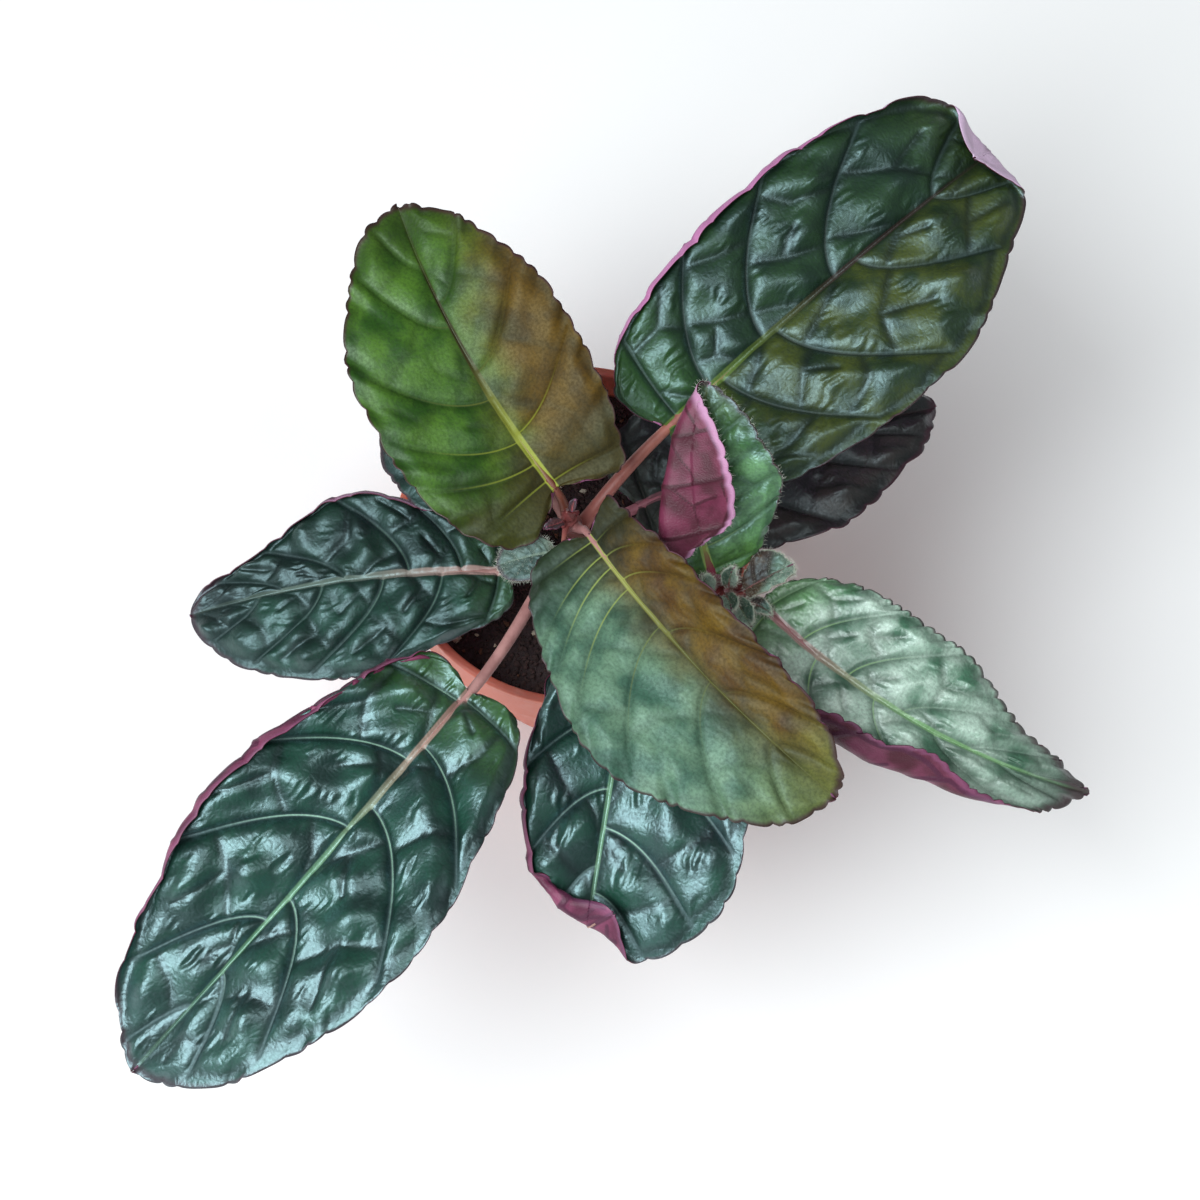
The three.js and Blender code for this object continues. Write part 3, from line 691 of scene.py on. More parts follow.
# %% The ten leaves
LEAVES = {
    "leaf_front_left": dict(
        GLOSSY_LEAF, at=0.72, base=[-20, -43.5, 99], tip=[-83.0, -114, 86], rise=7.5, bow=2, lobe=6,
        left=[24, 25.5, 27, 24, 16], right=[25, 28, 28.5, 23, 15],
        fold=[4, 6], cup=[14, 18], edge=[0, 135], edge_from=[0.8, 0.79, 0.86, 0.92, 0.95],
        veins=[[0.02, 0.15, 0.31, 0.55, 0.74], [0.03, 0.19, 0.37, 0.61, 0.83]], quilt=2.8,
    ),
    "leaf_back_right": dict(
        USUAL_LEAF, at=0.74, base=[18.5, 9.5, 104], tip=[90.2, 74.4, 103.5], rise=5, lobe=8,
        left=[31, 31, 27.5, 26.5, 22], right=[32, 34, 30, 23, 17],
        roll=4, fold=[8, 2], cup=[18, 8], edge=[125, 0], edge_from=[0.85, 0.86, 0.9, 0.93, 0.97],
        turns=[turned([0.91, 0], toward=-3, radius=1.1, by=155)],
        veins=[[0.03, 0.12, 0.27, 0.47, 0.76], [0.02, 0.15, 0.3, 0.53, 0.76]], quilt=2.4, teeth=[0.5, 7],
        look="dark_teal", crest=0.64, roof=0.7, cells=(0.6, 3.2),
    ),
    "leaf_top_back": dict(
        USUAL_LEAF, at=0.93, base=[-3.5, -5.5, 110], tip=[-34.5, 49, 122], rise=3, bow=3, lobe=8.5,
        left=[24, 28, 23, 18, 17], right=[38, 24.5, 21, 17.5, 13], roll=4, fold=[0, 18], cup=[4, 14],
        veins=[[0.03, 0.09, 0.17, 0.32, 0.57, 0.78], [0.02, 0.19, 0.41, 0.65]],
        quilt=1.4, teeth=[0.8, 4.2], ruffle=0.7, pleats=0.01,
        look="bronze_back", slot="leaf_bronze", stalk=(1.0, 0.75), step=0.66,
    ),
    "leaf_top_front": dict(
        USUAL_LEAF, at=0.95, base=[3.3, -16, 112], tip=[48.5, -67.5, 113], rise=4, bow=-3, lobe=6,
        left=[29, 15, 13.6, 14.5, 16], right=[21, 25, 26, 22, 23], fold=[40, -8], cup=[22, 0],
        veins=[[0.03, 0.085, 0.17, 0.37, 0.6, 0.8], [0.02, 0.075, 0.12, 0.2, 0.34, 0.55, 0.78]],
        quilt=1.3, teeth=[0.8, 3.8], ruffle=0.6, pleats=0.03,
        look="bronze_front", slot="leaf_bronze", stalk=(0.95, 0.68), step=0.62,
    ),
    "leaf_left": dict(
        USUAL_LEAF, at=0.4, base=[-13.5, -14.5, 86], tip=[-79, -20.5, 76], rise=5, bow=-1, lobe=4,
        left=[18, 17, 20, 19.5, 17], right=[14, 16.5, 21, 11, 9],
        fold=[-2, -4], cup=[-14, 8], edge=[0, 135], edge_from=[0.8, 0.82, 0.86, 0.87, 0.93], edge_radius=0.8,
        veins=[[0.03, 0.2, 0.38, 0.57, 0.77], [0.02, 0.14, 0.3, 0.5, 0.7]], quilt=2.1, ruffle=0.4,
        look="teal_grey", cell=9, crest=0.4, roof=0.5, cells=(0.6, 2.6),
    ),
    "leaf_back_left": dict(
        USUAL_LEAF, **even(13, 15, 15, 12, 8), at=0.52, base=[-9, 3, 93], tip=[-39.5, 14, 90],
        rise=3, lobe=3, fold=[5, 5], cup=[10, 10], veins=[[0.03, 0.25, 0.5, 0.74], [0.02, 0.18, 0.38, 0.62]],
        quilt=1.4, teeth=[0.5, 5], ruffle=0.3, look="teal_grey", step=0.7,
    ),
    "leaf_low_right": dict(
        USUAL_LEAF, at=0.34, base=[13, 1, 82], tip=[76, 24.5, 79], rise=4, lobe=7,
        left=[24, 25, 25, 20, 12], right=[21, 22, 21, 15, 6],
        veins=[[0.03, 0.2, 0.4, 0.62, 0.8], [0.02, 0.12, 0.3, 0.52, 0.72]],
        quilt=2.2, teeth=[0.7, 6], look="old", slot="leaf_dark", step=0.7,
    ),
    "leaf_front": dict(
        GLOSSY_LEAF, stem="side_stem", at=0.42, base=[12, -31, 88], tip=[1.8, -91.2, 74.5], rise=6, lobe=6,
        left=[26, 27.5, 28, 31.5, 37], right=[21, 20.5, 18.5, 18.5, 16],
        edge=[0, 140], edge_from=[0.93, 0.92, 0.9, 0.84, 0.8], edge_radius=0.9,
        turns=[turned([0.862, 0], toward=-26, radius=1.3, by=150, wave=0.6)],
        veins=[[0.02, 0.16, 0.36, 0.6, 0.8], [0.03, 0.24, 0.48, 0.72]], quilt=2.5, teeth=[0.6, 6],
    ),
    "leaf_right": dict(
        USUAL_LEAF, stem="side_stem", at=0.9, base=[36.5, -26, 100], tip=[101.5, -60, 85],
        rise=6, bow=-7, lobe=3, left=[17, 21, 17.5, 9, 3.5], right=[19.5, 24, 19, 10.5, 3],
        fold=[4, 0], cup=[10, 0], turns=[turned([0.5, -8.8], toward=-82, radius=2.2, by=135, wave=0.4)],
        veins=[[0.02, 0.14, 0.29, 0.46, 0.66, 0.83], [0.03, 0.2, 0.38, 0.56, 0.75]],
        quilt=1.8, teeth=[0.9, 3], ruffle=0.4, look="mint",
    ),
    "leaf_upright": dict(
        USUAL_LEAF, stem="side_stem", at=0.96, base=[26.8, -22, 106.5], tip=[25.6, 7, 132.6],
        rise=2, bow=3.5, lobe=3, left=[9, 15.4, 22.4, 21.4, 11.6], right=[15, 17, 17, 15, 12],
        fold=[0, 6], cup=[0, 12], turns=[turned([0, 8], toward=78, radius=1.7, by=168)],
        veins=[[0.03, 0.22, 0.44, 0.66], [0.02, 0.14, 0.3, 0.48, 0.66, 0.82]],
        quilt=1.2, teeth=[0.7, 3.6], ruffle=0.4, look="young_green", slot="leaf_pink",
    ),
}

# %% Young leaves, and the smallest ones at the two tips
YOUNG_LEAVES = {
    "young_main_left": dict(
        YOUNG_LEAF, stem="main_stem", at=0.985, base=[-3.6, -17.5, 107], tip=[-14.8, -19.5, 104.5],
        rise=0.8, lobe=0.5, left=[4.6, 4.9, 4.9, 5, 4.4], right=[4.2, 4.4, 4.4, 4.4, 4], cup=[10, 10],
        veins=[[0.2, 0.5, 0.8], [0.1, 0.35, 0.65]], quilt=0.6, teeth=[0.15, 1.6], ruffle=0.12, look="downy",
    ),
    "young_side_right": dict(
        YOUNG_LEAF, at=0.985, base=[33.6, -24.6, 104.6], tip=[42.6, -20, 106.6], rise=0.8, lobe=0.8,
        left=[3.6, 4.5, 5.6, 5.2, 3.4], right=[3.6, 4.8, 5.2, 4.8, 3], roll=-10, fold=[10, 30], cup=[14, 24],
        veins=[[0.2, 0.5, 0.8], [0.1, 0.35, 0.65]], quilt=0.8, teeth=[0.3, 1.5], ruffle=0.25,
        look="downy_brown",
    ),
    "young_side_back": dict(
        YOUNG_LEAF, **even(1.8, 2, 2, 1.8, 1), at=0.985, base=[26.4, -25.4, 105.2], tip=[24.6, -23.2, 110.4],
        fold=[30, 10], cup=[20, 10],
    ),
    "young_side_front": dict(
        YOUNG_LEAF, **even(2.2, 2.4, 2.4, 2.2, 1.4), at=0.93, base=[31.4, -26.6, 104.2],
        tip=[34, -32.6, 106.6], rise=0.8, fold=[24, 12],
    ),
}
TIP_LEAVES = {
    "tip_leaf_a": dict(
        TIP_LEAF, **even(1.6, 2, 2, 1.6, 1), at=0.99, base=[30, -24, 106], tip=[31.2, -21.4, 109.8],
    ),
    "tip_leaf_b": dict(
        TIP_LEAF, at=0.97, base=[29.4, -26, 105.4], tip=[30, -30.6, 109], rise=0.5, bow=0.4,
        left=[1.6, 2, 2, 1.7, 1], right=[1.8, 2.2, 2.2, 1.8, 1], fold=[24, 14],
    ),
    "tip_leaf_c": dict(
        TIP_LEAF, **even(1.5, 1.9, 1.9, 1.5, 0.8), at=0.98, base=[33.6, -26.4, 102.8], tip=[38.4, -29.4, 104],
        quilt=0.4, teeth=[0.15, 1], look="downy_brown",
    ),
    "tip_leaf_d": dict(
        BRACT, **even(1.2, 1.5, 1.5, 1.2, 0.7), at=0.985, base=[-2.2, -12.6, 110], tip=[-5.6, -14.6, 112.6],
    ),
    "tip_leaf_e": dict(
        BRACT, **even(0.8, 1, 1, 0.8, 0.4), at=0.99, base=[-0.2, -10.4, 110.8], tip=[0.8, -8.8, 113],
    ),
}
print(len(LEAVES), "leaves,", len(YOUNG_LEAVES), "young ones and", len(TIP_LEAVES), "at the tips")


# %% [markdown]
# ### From a flat blade to a leaf in space
# Three small bends make every leaf: a roll turns all that lies beyond a line round a small radius, a fold
# lifts each half about the midrib, and the midrib itself is a gentle arch. Applied one after the other to
# (along, left, height), they nearly keep the lengths on the blade, so the quilt's cells hardly stretch.

# %% The midrib
def place_on_midrib(leaf, share):
    base, reach = np.array(leaf["base"], float), np.subtract(leaf["tip"], leaf["base"])
    side = unit(np.cross(WORLD_UP, reach))
    share = np.asarray(share, float)[..., None]
    hump = 4 * share * (1 - share)
    return base + reach * share + WORLD_UP * leaf["rise"] * hump + side * leaf["bow"] * hump


def midrib_length(leaf):
    return float(np.linalg.norm(np.subtract(leaf["tip"], leaf["base"])))


def midrib_frame(leaf, along):
    """The place and the forward, left and over directions at a distance along the midrib."""
    share = np.asarray(along, float) / midrib_length(leaf)
    forward = unit(place_on_midrib(leaf, share + 0.01) - place_on_midrib(leaf, share - 0.01))
    left = unit(np.cross(WORLD_UP, forward))
    roll = math.radians(leaf["roll"])
    left = left * math.cos(roll) + np.cross(forward, left) * math.sin(roll)
    return place_on_midrib(leaf, share), forward, left, np.cross(forward, left)


print("longest midrib:", round(max(map(midrib_length, LEAVES.values())), 1), "mm")


# %% The bends
WAVE_REACH = 2.6


def rolled(distance, height, radius, by):
    """How far out and up a point comes to lie that is some distance beyond the line where a roll begins."""
    turn = np.minimum(np.maximum(distance, 0) / radius, np.radians(by))
    beyond = distance - turn * radius
    out = radius * np.sin(turn) + beyond * np.cos(turn) - height * np.sin(turn)
    up = radius * (1 - np.cos(turn)) + beyond * np.sin(turn) + height * np.cos(turn)
    return out, up


def aim(turn):
    """How much of a roll's direction runs along the midrib, and how much to the left."""
    return math.cos(math.radians(turn["toward"])), math.sin(math.radians(turn["toward"]))


def beyond_line(leaf, turn, along, left):
    """How far places on the flat blade lie beyond the line, straight or wavy, where a roll begins."""
    ahead, aside = aim(turn)
    forward, sideways = along - turn["at"][0] * midrib_length(leaf), left - turn["at"][1]
    wave = turn["wave"] * np.sin((sideways * ahead - forward * aside) / WAVE_REACH)
    return forward * ahead + sideways * aside + wave


# %% All bends together
def in_space(leaf, along, left, height):
    """Points in space from places on the flat blade: rolled, folded, cupped and set on the midrib."""
    for turn in leaf["turns"]:
        ahead, aside = aim(turn)
        distance = beyond_line(leaf, turn, along, left)
        out, height = rolled(distance, height, turn["radius"], turn["by"])
        along = along + (out - distance) * ahead
        left = left + (out - distance) * aside
    half = (left <= 0).astype(int)
    start = np.radians(leaf["fold"])[half]
    widest = np.array([max(leaf["left"]), max(leaf["right"])])
    bend = (np.radians(np.array(leaf["cup"]) + 0.01) / widest)[half]
    angle = start + bend * np.abs(left)
    point, _, sideways, over = midrib_frame(leaf, along)
    out = (np.sin(angle) - np.sin(start)) / bend - height * np.sin(angle)
    up = (np.cos(start) - np.cos(angle)) / bend + height * np.cos(angle)
    return point + sideways * (np.where(half == 0, 1, -1) * out)[..., None] + over * up[..., None]


# %% The outline and the rows
# The first BASE_FAN of the rows fan out from the blade's base, and the others lean towards the tip. ARCH bows
# them towards the base, and LOBE_LENGTH of them reach back for the lobe.
BASE_FAN, LEAN, ARCH, ARCH_PLACE = 0.15, 1.55, 0.2, 0.85
LOBE_LENGTH, LOBE_SHAPE = 0.36, 1.2
FIRST_ROW, LAST_ROW, FINE_ROWS = 0.015, 0.9985, 2001
MARGIN_PACE = 0.6


def outline(leaf, row, widths):
    """Where a row meets the margin of one half: distance along and out, on the flat blade."""
    back = leaf["lobe"] * np.sin(np.pi * np.minimum(1, row / LOBE_LENGTH)) ** LOBE_SHAPE
    where = np.minimum(row, 0.9999) * (len(widths) - 1)
    index = where.astype(int)
    widths = np.array(widths, float)
    out = widths[index] + (widths[index + 1] - widths[index]) * eased(where - index)
    return midrib_length(leaf) * (1 - np.cos(np.pi * row)) / 2 - back, out * np.sin(np.pi * row)


def row_start(row):
    """The share of the midrib at which a row starts."""
    return 0.99 * (np.maximum(row - BASE_FAN, 0) / (1 - BASE_FAN)) ** LEAN + 0.01 * row


def row_of(start):
    """The row that starts at a share of the midrib."""
    rows = np.linspace(0, 1, FINE_ROWS)
    return np.interp(start, row_start(rows), rows)


# %% Rows and places on them
def blade_rows(leaf):
    """Rows about a step apart, as measured between midrib and margin, with one exactly on every side vein."""
    fine = np.linspace(FIRST_ROW, LAST_ROW, FINE_ROWS)
    along, out = outline(leaf, fine, np.maximum(leaf["left"], leaf["right"]))
    pace = MARGIN_PACE * np.hypot(np.gradient(along), np.gradient(out))
    pace += (1 - MARGIN_PACE) * np.gradient(row_start(fine)) * midrib_length(leaf)
    gone = np.cumsum(pace)
    rows = np.interp(np.linspace(gone[0], gone[-1], int(gone[-1] / leaf["step"])), gone, fine)
    for start in sum(leaf["veins"], []):
        rows[np.argmin(np.abs(rows - row_of(start)))] = row_of(start)
    return rows


def row_path(leaf, row, share, widths):
    """A place share of the way out along a row, bowed towards the base as the side veins are."""
    start = row_start(row) * midrib_length(leaf)
    along, out = outline(leaf, row, widths)
    bow = ARCH * (along - start) * np.sin(np.pi * share**ARCH_PLACE)
    return start + (along - start) * share - bow, out * share


print("leaf_front has", len(blade_rows(LEAVES["leaf_front"])), "rows")


# %% [markdown]
# ### Where the veins run
# Side veins leave the midrib on both sides and bend towards the tip. Between two of them run weaker cross
# veins, which divide each strip into the cells of the quilt, and near the margin the ends are looped
# together. Cross veins differ from cell to cell, so their places are drawn from a seeded generator.

# %% A cross vein
# Places are shares: of the way out along a row, or of the gap between two side veins. A cross vein starts
# CELL_START into its cell and falls back by CELL_DROP on its way to the next vein; TWIGS of them have a twig.
# One that would end NEAR_MIDRIB ends blind instead, before it reaches the next vein.
MIDRIB_SEGMENTS, VEIN_POINTS, VEIN_END, LAST_VEIN = 13, 13, 0.93, 0.97
CELL_ZONE, CELL_START, CELL_DROP, TWIGS = 0.92, 0.62, 0.34, 0.6
TWIG_AHEAD, TWIG_OUT, TWIG_END = 0.12, 0.45, 0.9
START_VARIES, DROP_VARIES, KINK_VARIES, KINK_PLACE = 0.14, 0.06, 0.05, (0.4, 0.6)
NEAR_MIDRIB, BLIND_END = 0.06, (0.55, 0.85)
LOOP_MIDDLE, LOOP_TOP, LOOP_BACK, LOOP_END = 0.45, 0.955, 0.05, 0.9


def cross_vein(k, cells, first, second, rng):
    """Stops (row, share) of the cross vein of cell k between two side veins, and of its twig if any."""
    gap = second - first
    here = (k + CELL_START + rng.uniform(-START_VARIES, START_VARIES)) / cells * CELL_ZONE
    there = max(0.0, here - (CELL_DROP + rng.uniform(-DROP_VARIES, DROP_VARIES)) / cells * 2)
    last = second if there > NEAR_MIDRIB else first + gap * rng.uniform(*BLIND_END)
    kink = (here + there) / 2 + rng.uniform(-KINK_VARIES, KINK_VARIES)
    middle = first + (last - first) * rng.uniform(*KINK_PLACE)
    lines = [[(first, here), (middle, kink), (last, there)]]
    if rng.uniform() < TWIGS:
        lines.append([(middle, kink), (middle + gap * TWIG_AHEAD, min(TWIG_END, kink + TWIG_OUT / cells))])
    return lines


# %% The vein network of a leaf
def segments(lines):
    return np.concatenate([np.stack([line[:-1], line[1:]], 1) for line in lines])


def vein_network(leaf, seed):
    """Segments of all veins on the flat blade: (midrib and side veins), (cross veins), each (n, 2, 2)."""
    rng = np.random.default_rng(seed)
    main = [np.array([[x, 0.0] for x in np.linspace(-3, midrib_length(leaf), MIDRIB_SEGMENTS + 1)])]
    cross = []
    for sign, widths, starts in ((1, leaf["left"], leaf["veins"][0]), (-1, leaf["right"], leaf["veins"][1])):

        def path(stops):
            row, share = (np.array(values) for values in zip(*stops))
            along, out = row_path(leaf, row, share, widths)
            return np.stack([along, sign * out], -1)

        rows = [row_of(s) for s in starts]
        main += [path([(row, s) for s in np.linspace(0, VEIN_END, VEIN_POINTS)]) for row in rows]
        for first, second in zip(rows, rows[1:] + [LAST_VEIN]):
            span = outline(leaf, np.array([(first + second) / 2]), widths)[1][0]
            cells = max(2, round(span / leaf["cell"]))
            for k in range(cells):
                cross += [path(stops) for stops in cross_vein(k, cells, first, second, rng)]
            gap = second - first
            top, back = (first + gap * LOOP_MIDDLE, LOOP_TOP), (second - gap * LOOP_BACK, LOOP_END)
            cross.append(path([(first, VEIN_END), top, back]))
    return segments(main), segments(cross)


network = vein_network(LEAVES["leaf_front"], seed=0)
print("leaf_front has", len(network[0]), "segments of main veins and", len(network[1]), "of cross veins")


# %% Distance to the veins
def smooth_distance(flat, groups):
    """About the distance to the nearest line, but rounded where two lines are equally near.

    Each segment adds the integral of 1 / distance cubed along it. groups holds (segments, blur) pairs,
    and blur is the half width over which a line's own trough is rounded.
    """
    total = np.full(flat.shape[:-1], 1e-9)
    for lines, blur in groups:
        for a, b in lines:
            length = np.linalg.norm(b - a)
            way = (b - a) / length
            ahead = (flat - a) @ way
            apart = (flat - a) @ np.array([-way[1], way[0]])
            near = apart**2 + blur**2
            rest = length - ahead
            total += (rest / np.sqrt(near + rest**2) + ahead / np.sqrt(near + ahead**2)) / near
    return np.sqrt(2 / total)


def line_distance(flat, lines):
    """The true distance to the nearest line."""
    nearest = np.full(flat.shape[:-1], 1e9)
    for a, b in lines:
        way = b - a
        share = np.clip(((flat - a) @ way) / (way @ way), 0, 1)
        nearest = np.minimum(nearest, np.linalg.norm(flat - a - share[..., None] * way, axis=-1))
    return nearest


# %% [markdown]
# ### The blade as a thin solid
# The quilted surface is the upper skin; the lower skin follows it a third of a millimetre below, and a
# narrow band closes the margin. Values such as the distance to a vein are stored on the points, so the
# colours can follow the veins later.

# %% The flat blade and its scalloped margin
SCALLOP_SHAPE, SCALLOP_REACH, SCALLOP_VARIES = 0.6, 7, 0.3
RUFFLE_REACH, RUFFLE_PACE = 6, 0.9
ROW_STRETCH = 1.12


def half_blade(leaf, rows, shares, widths, sign):
    """One half of the flat blade: places along and left, and the height of its margin's waves."""
    row, share = np.meshgrid(rows, shares, indexing="ij")
    along, out = row_path(leaf, row, share, widths)
    margin_along, margin_out = outline(leaf, rows, widths)
    gone = np.concatenate([[0], np.cumsum(np.hypot(np.diff(margin_along), np.diff(margin_out)))])
    depth, spacing = leaf["teeth"]
    beat = gone / spacing + SCALLOP_VARIES * wander(gone[:, None], spacing * 3, len(rows) + sign)
    notch = depth * (np.abs(np.sin(np.pi * beat)) ** SCALLOP_SHAPE - 1)
    outward = unit(np.stack([np.gradient(margin_out), -np.gradient(margin_along)], -1)) * -1
    pull = share**SCALLOP_REACH
    along += notch[:, None] * pull * outward[:, :1]
    out += notch[:, None] * pull * outward[:, 1:]
    ruffle = leaf["ruffle"] * np.sin(np.pi * beat * RUFFLE_PACE + sign)[:, None] * share**RUFFLE_REACH
    return along, sign * np.maximum(out, 0), ruffle


def broadest(leaf):
    """The largest half width of a leaf."""
    return max(leaf["left"] + leaf["right"])


def flat_blade(leaf, rows):
    """Both halves side by side, right to left: along, left, ruffle, and the share of the way out."""
    shares = np.linspace(0, 1, int(broadest(leaf) * ROW_STRETCH / leaf["step"]))
    sides = (leaf["right"], -1), (leaf["left"], 1)
    right, left = (half_blade(leaf, rows, shares, widths, sign) for widths, sign in sides)
    joined = [np.concatenate([a[:, ::-1], b[:, 1:]], 1) for a, b in zip(right, left)]
    return *joined, np.abs(np.concatenate([-shares[::-1], shares[1:]]))[None, :]


# %% The relief of the quilt
# Reaches and spacings are those of a blade whose broadest half measures FULL_HALF, and shrink with smaller
# blades.
FULL_HALF, SHARP_BLUR, CROSS_BLUR = 48, 0.02, 0.3
ROOF_SOFTNESS, FULL_STRIP, RIB_TROUGH = 0.14, 12, 3.4
CREASE, CREASE_REACH = 0.24, 0.9
PATCH_SHARE, PATCH_SIZE = 0.25, 16
CALM_FROM, CALM_OVER = 0.55, 0.4


def strips(leaf, rows, sign):
    """A roof per row of one half: 0 on its two side veins, steeper on the lower side if crest < 0.5."""
    starts = np.array([0.0] + leaf["veins"][0 if sign == 1 else 1] + [1.0])
    stops = row_of(starts)
    stops[0], stops[-1] = 0.0, 1.0
    index = np.clip(np.searchsorted(stops, rows, side="right") - 1, 0, len(stops) - 2)
    share = np.clip((rows - stops[index]) / (stops[index + 1] - stops[index]), 0, 1)
    crest, soft = leaf["crest"], ROOF_SOFTNESS
    hump = -soft * np.log(np.exp(-share / crest / soft) + np.exp(-(1 - share) / (1 - crest) / soft))
    gap = (starts[index + 1] - starts[index]) * midrib_length(leaf)
    return hump * np.minimum(1, gap / FULL_STRIP)


def quilt_height(leaf, rows, flat, to_main, to_net, scale, seed):
    """Roofs between the side veins, a crease along them, and the bulges of the cells."""
    along, left = flat[..., 0], flat[..., 1]
    depth = leaf["quilt"] * (1 + PATCH_SHARE * wander(flat, PATCH_SIZE * scale, seed))
    calm = eased(np.clip(along / midrib_length(leaf) - CALM_FROM, 0, CALM_OVER) / CALM_OVER)
    depth = depth * (1 - leaf["calm"] * calm)
    right_roof, left_roof = (strips(leaf, rows, sign)[:, None] for sign in (-1, 1))
    roof = np.where(left > 0, left_roof, right_roof) * (1 - np.exp(-np.abs(left) / (RIB_TROUGH * scale)))
    weight, reach = leaf["cells"]
    creases = CREASE * (1 - np.exp(-to_main / (CREASE_REACH * scale)))
    return depth * (leaf["roof"] * roof + (creases + weight * np.tanh(to_net / (reach * scale))))


# %% The fine relief
PLEAT_SPACING, PLEAT_SWAY, SWAY_SIZE, PLEAT_RISE = 3.1, 1.6, 9, 1.2
PLEAT_SHARE, PLEATED_SIZE, PLEATED_EDGE, PLEATED_RARE = 0.11, 13, 2.2, 0.9
RIB_CROWN, RIB_HALF = 0.3, 0.8
SAG, SAG_SIZE = 0.4, 40
TURN_CALM, TURN_BEFORE, TURN_OVER = 0.8, 3, 5
MARGIN_CALM, END_CALM = 0.2, 3


def pleat_height(leaf, flat, to_net, scale, seed):
    """Fine pleats along the blade, in patches, or evenly where the leaf's own share says so."""
    sway = PLEAT_SWAY * wander(flat, SWAY_SIZE * scale, seed + 1)
    pleats = np.sin(2 * np.pi * np.abs(flat[..., 1]) / (PLEAT_SPACING * scale) + sway)
    share = leaf["pleats"]
    if share is None:
        patches = PLEATED_EDGE * wander(flat, PLEATED_SIZE * scale, seed + 3) - PLEATED_RARE
        share = PLEAT_SHARE * eased(np.clip(patches, 0, 1))
    return share * leaf["quilt"] * pleats * (1 - np.exp(-to_net / (PLEAT_RISE * scale)))


# %% The upper surface
def blade_grid(leaf, seed):
    """The quilted upper surface on the flat blade, with the values that the colours need."""
    rows = blade_rows(leaf)
    along, left, ruffle, share = flat_blade(leaf, rows)
    flat = np.stack([along, left], -1)
    scale = min(1.0, broadest(leaf) / FULL_HALF)
    main, cross = vein_network(leaf, seed)
    to_main = smooth_distance(flat, [(main, SHARP_BLUR)])
    to_net = smooth_distance(flat, [(main, SHARP_BLUR), (cross, CROSS_BLUR * scale)])
    fade = eased(np.clip((1 - share) / MARGIN_CALM, 0, 1))
    fade = fade * np.clip(np.sin(np.pi * rows) * END_CALM, 0, 1)[:, None]
    height = quilt_height(leaf, rows, flat, to_main, to_net, scale, seed) * fade
    height += pleat_height(leaf, flat, to_net, scale, seed) * fade
    crown = RIB_CROWN * scale * np.exp(-((left / (RIB_HALF * scale)) ** 2))
    height += crown * (1 - along / midrib_length(leaf)).clip(0, 1)
    height += ruffle
    for turn in leaf["turns"]:
        near = (beyond_line(leaf, turn, along, left) + TURN_BEFORE) / TURN_OVER
        height *= 1 - TURN_CALM * eased(np.clip(near, 0, 1))
    height += SAG * wander(flat, SAG_SIZE * scale, seed + 2) * scale
    columns = left.shape[1]
    margin = np.where(np.arange(columns) <= columns // 2, left[:, :1], left[:, -1:])
    return dict(
        rows=rows, along=along, left=left, height=height, share=share + 0 * along, flat=flat, net=to_net,
        side_vein=line_distance(flat, main[MIDRIB_SEGMENTS:]), rim=(1 - share) * np.abs(margin),
    )


# %% Curl the edges, then bend into space
def curled(leaf, grid):
    """Rolls the outermost strip up where the leaf's edge asks for it."""
    along, left, height = grid["along"], grid["left"], grid["height"]
    for side, sign, by in (("left", 1, leaf["edge"][0]), ("right", -1, leaf["edge"][1])):
        if by == 0:
            continue
        rows, profile = grid["rows"], leaf["edge_from"]
        start = row_start(rows) * midrib_length(leaf)
        end_along, end_out = outline(leaf, rows, leaf[side])
        span = np.hypot(end_along - start, end_out)[:, None]
        edge_from = np.interp(rows, np.linspace(0, 1, len(profile)), profile)[:, None]
        beyond = (grid["share"] - edge_from) * span
        out, up = rolled(beyond, height, leaf["edge_radius"], by)
        lifted = (left * sign > 0) & (beyond > 0)
        moved = np.where(lifted, out - beyond, 0)
        along = along + moved * ((end_along - start)[:, None] / span)
        left = left + moved * (end_out[:, None] / span * sign)
        height = np.where(lifted, up, height)
    return along, left, height


# %% Close the blade
BLADE_THICKNESS, THIN_RIM, RIM_REACH = 0.34, 0.55, 2
RIB_DEPTH, RIB_REACH = 0.16, 0.5
FLAT_UNIT = 10


def blade_solid(leaf, grid):
    """Points, faces, face materials and point values of the closed blade, ribbed below its veins."""
    upper = in_space(leaf, *curled(leaf, grid))
    rows, columns = upper.shape[:2]
    normal = unit(np.cross(np.gradient(upper, axis=0), np.gradient(upper, axis=1)))
    thin = THIN_RIM + (1 - THIN_RIM) * eased(np.clip(grid["rim"] / RIM_REACH, 0, 1))
    ribs = RIB_DEPTH * np.exp(-grid["net"] / RIB_REACH)
    lower = upper - normal * (BLADE_THICKNESS * thin + ribs)[..., None]
    size = rows * columns
    a = (np.arange(rows - 1)[:, None] * columns + np.arange(columns - 1)[None]).ravel()
    top = np.stack([a, a + columns, a + columns + 1, a + 1], -1)
    bottom = np.stack([a, a + 1, a + columns + 1, a + columns], -1) + size
    corner = np.arange(size).reshape(rows, columns)
    loop = np.concatenate([corner[0, :-1], corner[:-1, -1], corner[-1, :0:-1], corner[:0:-1, 0]])
    band = np.stack([loop, np.roll(loop, -1), np.roll(loop, -1) + size, loop + size], -1)
    paints = np.repeat([0, 1, 2], [len(top), len(bottom), len(band)])
    values = {key: np.tile(grid[key].ravel(), 2) for key in ("net", "side_vein", "rim")}
    values["length"] = np.tile((grid["along"] / midrib_length(leaf)).ravel(), 2)
    flat = np.concatenate([grid["flat"], 0 * grid["flat"][..., :1]], -1).reshape(-1, 3) / FLAT_UNIT
    values["blade"] = np.tile(flat, (2, 1))
    points = np.concatenate([upper.reshape(-1, 3), lower.reshape(-1, 3)])
    return points, np.concatenate([top, bottom, band]).tolist(), paints, values


